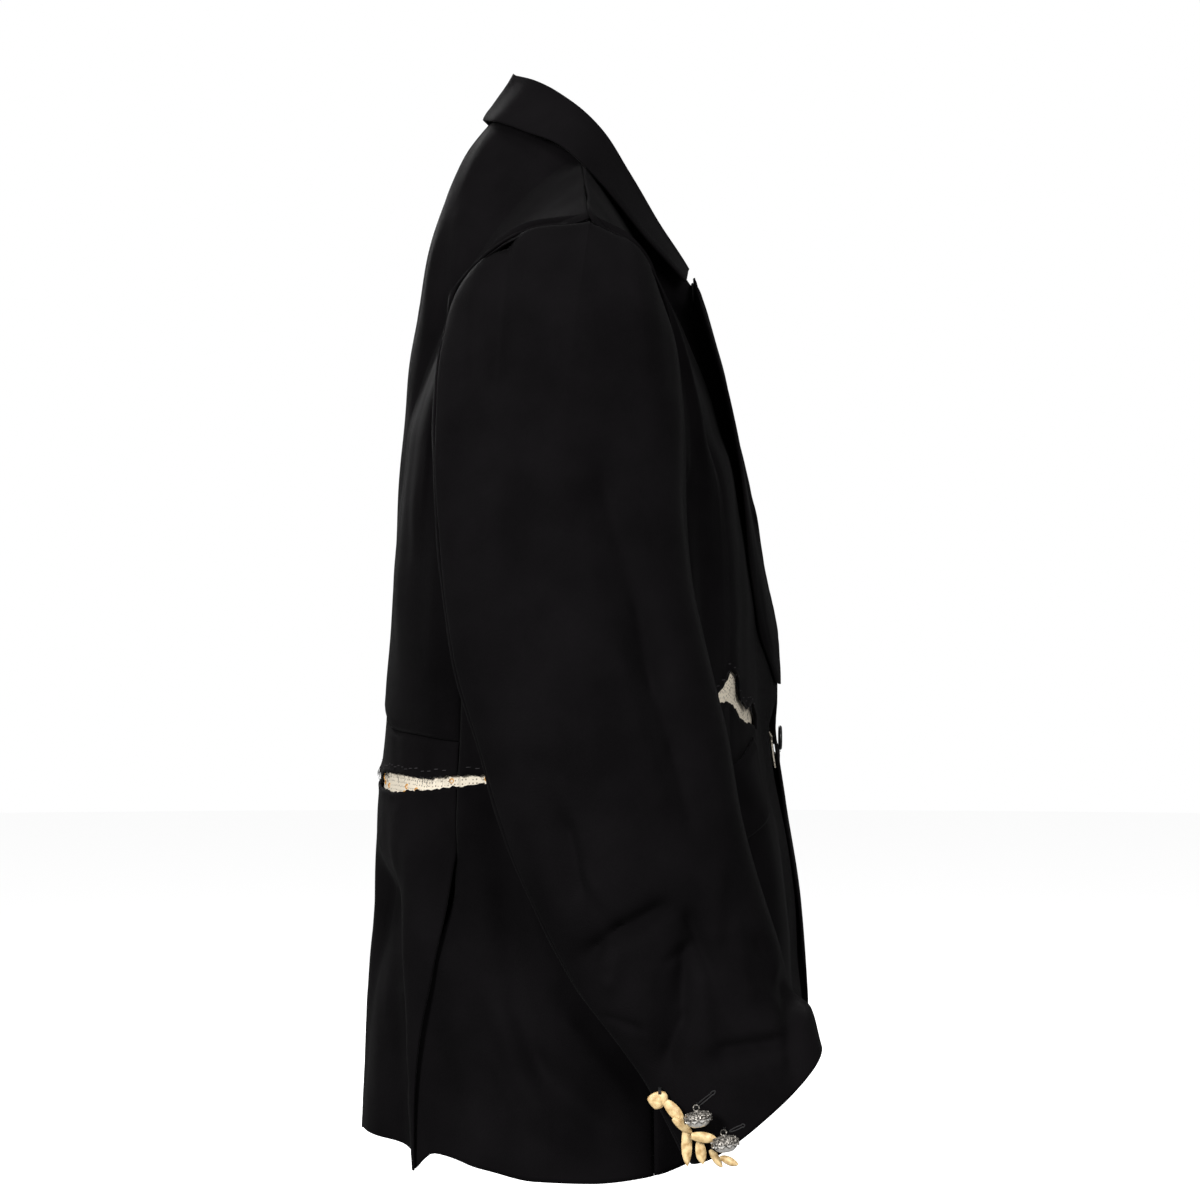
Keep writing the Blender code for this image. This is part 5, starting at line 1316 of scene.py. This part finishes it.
def sleeve_side(y, z, reach):
    """How far out the right sleeve's outer face stands within a reach of a place."""
    found = []
    for angle in np.arange(16) * math.pi / 8:
        for share in (0.0, 0.5, 1.0):
            start = Vector((-400.0, y + reach * share * math.cos(angle),
                            z + reach * share * math.sin(angle)))
            hit = CUFF_TREE.ray_cast(start, Vector((1.0, 0.0, 0.0)))[0]
            if hit is not None:
                found.append(hit[0])
    return min(found)


def placed_trim(name, mesh, finish, place, hand, node, angle=50.0, tilt=0.0):
    """Set a small part, modelled round the origin in mm, on one of the cuffs."""
    bmesh.ops.rotate(mesh, matrix=Matrix.Rotation(math.radians(tilt), 3, "X"), verts=mesh.verts)
    bmesh.ops.translate(mesh, vec=Vector(place), verts=mesh.verts)
    bmesh.ops.scale(mesh, vec=(MM if hand == "right" else -MM, MM, MM), verts=mesh.verts)
    bmesh.ops.recalc_face_normals(mesh, faces=mesh.faces)
    made = finished(name + "_" + hand, mesh, finish, angle)
    if node:
        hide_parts(node + "_" + hand)
    return made


def spun(profile, steps=40):
    """A turned form: (radius, height) pairs from its bottom to its top."""
    mesh = bmesh.new()
    rings = [[mesh.verts.new((radius * math.cos(turn), radius * math.sin(turn), height))
              for turn in (np.arange(steps if radius > 0 else 1) * 2 * math.pi / steps)]
             for radius, height in profile]
    for low, high in zip(rings[:-1], rings[1:]):
        for step in range(steps):
            after = (step + 1) % steps
            corners = [low[step % len(low)], low[after % len(low)], high[after % len(high)],
                       high[step % len(high)]]
            mesh.faces.new(list(dict.fromkeys(corners)))
    return mesh


def ball(mesh, place, radius):
    made = bmesh.ops.create_icosphere(mesh, subdivisions=1, radius=radius)
    bmesh.ops.translate(mesh, vec=Vector(place), verts=made["verts"])


print(len(PETALS), "petals on a cuff")

# %% Silver beads
BOWL_SHAPE = [(0, -6.0), (2.6, -5.95), (4.4, -5.8), (5.4, -5.4), (6.6, -4.5), (7.7, -3.4), (8.5, -2.3),
              (9.1, -1.2), (9.4, -0.2), (9.2, 0.6), (0, 0.6)]
CROWN_SHAPE = [(0, -0.6), (9.2, -0.6), (9.75, -0.4), (9.9, 0.5), (9.8, 1.4), (9.4, 2.2), (8.6, 3.1),
               (7.4, 3.9), (5.6, 4.6), (3.6, 5.0), (1.9, 5.3), (1.5, 5.9), (0, 6.0)]
GRAINS, SCALLOPS, LOOP_BALLS = 22, 11, 14
BEAD_OUT, BEAD_TILT = 11.5, -9.0


def even_turns(count):
    return [step * 2 * math.pi / count for step in range(count)]


def crown_mesh():
    """The filigree shoulder: two rows of grains, a scalloped hem of wire and a loop on top."""
    crown = spun(CROWN_SHAPE)
    for turn in even_turns(GRAINS):
        ball(crown, (9.6 * math.cos(turn), 9.6 * math.sin(turn), 1.7), 0.7)
        ball(crown, (7.9 * math.cos(turn + 0.14), 7.9 * math.sin(turn + 0.14), 3.7), 0.55)
    for turn in even_turns(SCALLOPS):
        arch = np.array([((9.4 + 0.4 * part * part) * math.cos(turn + part * 0.27),
                          (9.4 + 0.4 * part * part) * math.sin(turn + part * 0.27),
                          -0.6 - 1.9 * (1 - part * part)) for part in np.linspace(-1, 1, 7)])
        rings = []
        for spot, way in zip(arch, unit(np.gradient(arch, axis=0))):
            outer = unit(spot * np.array([1, 1, 0]))
            other = np.cross(way, outer)
            rings.append([crown.verts.new(spot + 0.38 * (outer * math.cos(a) + other * math.sin(a)))
                          for a in (0, 1.57, 3.14, 4.71)])
        skin(crown, rings)
    for turn in even_turns(LOOP_BALLS):
        ball(crown, (0.0, 2.0 * math.cos(turn), 7.4 + 2.0 * math.sin(turn)), 0.62)
    return crown


for hand in ("right", "left"):
    for bead in BEADS:
        place = (sleeve_side(bead.y, bead.z, 10) - BEAD_OUT, bead.y, bead.z)
        placed_trim(bead.name + "_bowl", spun(BOWL_SHAPE), BOWL, place, hand, bead.name,
                    tilt=BEAD_TILT)
        placed_trim(bead.name + "_crown", crown_mesh(), FILIGREE, place, hand, None,
                    tilt=BEAD_TILT)
print("four beads")

# %% Bone petals and buttons
def petal_mesh(petal, base):
    """A carved blade of bone: a blunt and a pointed end, and a ridge between two facets."""
    lean = math.radians(petal.lean)
    down = np.array([0.0, -math.sin(lean), -math.cos(lean)])
    across = np.array([0.0, math.cos(lean), -math.sin(lean)])
    mesh, layers = bmesh.new(), []
    blunt = 0.55 if petal.wide > BROAD else 0.3
    for thick in (0.0, PETAL_THICK):
        rows = []
        for part in np.linspace(-1, 1, PETAL_ROWS):
            taper = blunt if part < 0 else 0.12
            half = petal.wide / 2 * (taper + (1 - taper) * max(0.0, 1 - abs(part) ** 2.2) ** 0.9)
            row = []
            for side in np.linspace(-1, 1, PETAL_COLS):
                crown = (1 - abs(side - 0.15 * part)) * (1 - 0.7 * part * part)
                place = np.array([base, petal.y, petal.z]) + down * petal.long / 2 * part
                place = place + across * (half * side + 0.5 * math.sin(part * 1.6))
                place[0] -= petal.out + crown + (thick * (1 - 0.45 * abs(side) ** 3) if thick else 0)
                row.append(mesh.verts.new(place))
            rows.append(row)
        layers.append(rows)
    for rows in layers:
        for upper, lower in zip(rows[:-1], rows[1:]):
            for col in range(PETAL_COLS - 1):
                mesh.faces.new([upper[col], upper[col + 1], lower[col + 1], lower[col]])
    under, over = layers
    end, edge = PETAL_ROWS - 1, PETAL_COLS - 1
    ring = [(0, col) for col in range(edge)] + [(row, edge) for row in range(end)]
    ring += [(end, col) for col in range(edge, 0, -1)] + [(row, 0) for row in range(end, 0, -1)]
    for (row, col), (next_row, next_col) in zip(ring, ring[1:] + ring[:1]):
        mesh.faces.new([under[row][col], under[next_row][next_col], over[next_row][next_col],
                        over[row][col]])
    return mesh


# ahead, up: the button's outline in mm from its middle, ahead towards the front of the jacket
SHIELD = [(-7.5, 0.3), (-6.3, 2.6), (-3.0, 4.9), (1.2, 6.4), (5.2, 6.1), (7.2, 3.6), (7.5, 0.2),
          (5.9, -3.4), (2.4, -6.0), (-1.6, -6.9), (-4.6, -3.9)]


def shield_mesh():
    """The button: a pointed shield, domed outwards, with a carved arch and two short marks."""
    count = 66
    keys = np.arange(len(SHIELD) + 1, dtype=float)
    corners = np.array(SHIELD + SHIELD[:1])
    marks = np.linspace(0, len(SHIELD), count + 1)[:-1]
    outline = np.stack([np.interp(marks, keys, corners[:, axis]) for axis in (0, 1)], axis=1)
    for _ in range(4):
        outline = (np.roll(outline, 1, axis=0) + 2 * outline + np.roll(outline, -1, axis=0)) / 4
    mesh, rings = bmesh.new(), []
    shape = [(0.96, 0.0), (1.0, 0.5), (1.0, 2.0), (0.95, 2.9), (0.88, 3.3), (0.80, 3.6), (0.72, 3.75),
             (0.66, 3.85), (0.6, 4.0), (0.5, 4.2), (0.4, 4.35), (0.3, 4.45), (0.2, 4.52), (0.1, 4.56)]
    for scale, out in shape:
        ring = []
        for ahead, up in outline * scale:
            groove = 0.5 * math.exp(-((math.hypot(ahead + 2.0, up + 2.4) - 5.4) / 0.45) ** 2)
            groove += 0.4 * math.exp(-((up + 0.4 * ahead + 1.2) / 0.4) ** 2 - (ahead / 2.2) ** 2)
            ring.append(mesh.verts.new((-out + groove * (scale < 0.9), -ahead, up)))
        rings.append(ring)
    skin(mesh, rings)
    return mesh


for hand in ("right", "left"):
    for petal in PETALS:
        mesh = petal_mesh(petal, sleeve_side(petal.y, petal.z, petal.long / 2))
        placed_trim(petal.name + "_bone", mesh, BONE, (0, 0, 0), hand, petal.name)
    base = sleeve_side(BONE_BUTTON.y, BONE_BUTTON.z, 9)
    placed_trim("bone_button_bone", shield_mesh(), BONE,
                (base - 0.6, BONE_BUTTON.y, BONE_BUTTON.z), hand, "bone_button")
print("bone trim on both cuffs")

# %% Sewing of the trim and buttonholes
sewing = bmesh.new()


def on_sleeve_face(y, z, out=0.0):
    """A place on the right sleeve's outer face."""
    hit = CUFF_TREE.ray_cast(Vector((-400.0, y, z)), Vector((1.0, 0.0, 0.0)))[0]
    return np.array([(hit[0] if hit is not None else -300.0) - out, y, z])


button_x = sleeve_side(BONE_BUTTON.y, BONE_BUTTON.z, 9) - 0.6
for step in range(4):
    y = BONE_BUTTON.y - 1.6 + (step - 1.5) * 0.55
    tube(sewing, [on_sleeve_face(y, BONE_BUTTON.z + 8.0, 0.2),
                  np.array([button_x - 3.0, y, BONE_BUTTON.z + 7.0]),
                  np.array([button_x - 4.2, y, BONE_BUTTON.z + 4.9]),
                  np.array([button_x - 3.7, y, BONE_BUTTON.z + 4.2])], 0.32, 4)
for bead in BEADS:
    for shift in (-0.5, 0.5):
        base = sleeve_side(bead.y, bead.z, 10) - BEAD_OUT
        tube(sewing, [on_sleeve_face(bead.y + shift, bead.z + 9.5, 0.1),
                      np.array([base, bead.y + 1.1 + shift, bead.z + 7.6]),
                      on_sleeve_face(bead.y + 1.5 + shift, bead.z + 6.0, 0.1)], 0.3, 4)
BUTTONHOLES = [((-96.5, -711.0), (-81.5, -724.0)), ((-117.0, -734.5), (-106.5, -739.5))]
for (y0, z0), (y1, z1) in BUTTONHOLES:
    run = np.array([y1 - y0, z1 - z0])
    long = np.linalg.norm(run)
    run, aside = run / long, np.array([-run[1], run[0]]) / long
    loop = []
    for turn in np.linspace(0, 2 * math.pi, 40):
        along, wide = math.cos(turn), math.sin(turn)
        bulge = 1.9 if along < -0.72 else 1.0
        spot = np.array([(y0 + y1) / 2, (z0 + z1) / 2]) + run * along * long / 2
        spot = spot + aside * wide * bulge * 0.95
        loop.append(on_sleeve_face(spot[0], spot[1], 0.25))
    tube(sewing, loop, 0.5, 5)
both = sewing.copy()
bmesh.ops.scale(both, vec=(-1.0, 1.0, 1.0), verts=both.verts)
finished("cuff_sewing_right", closed(sewing), THREAD)
finished("cuff_sewing_left", closed(both), THREAD)

# %% Front button
BUTTON_SHAPE = [(0, 0), (8.3, 0), (9.1, 0.3), (9.5, 0.9), (9.5, 1.7), (9.1, 2.3), (8.5, 2.6),
                (7.9, 2.4), (7.2, 1.9), (0, 1.8)]
mesh = spun(BUTTON_SHAPE, 48)
for y, x in ((2.2, 2.2), (-2.2, 2.2), (2.2, -2.2), (-2.2, -2.2)):
    ball(mesh, (x, y, 1.9), 0.7)
place = section(np.array([181.0]), np.array([-474.0]))[0]
bmesh.ops.rotate(mesh, matrix=Matrix.Rotation(math.radians(90), 3, "X"), verts=mesh.verts)
bmesh.ops.translate(mesh, vec=Vector(place + np.array([0.0, -3.6, 0.0])), verts=mesh.verts)
bmesh.ops.scale(mesh, vec=(MM, MM, MM), verts=mesh.verts)
button = finished("front_button_horn", closed(mesh), HORN)
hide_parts("front_button")
print("front button")
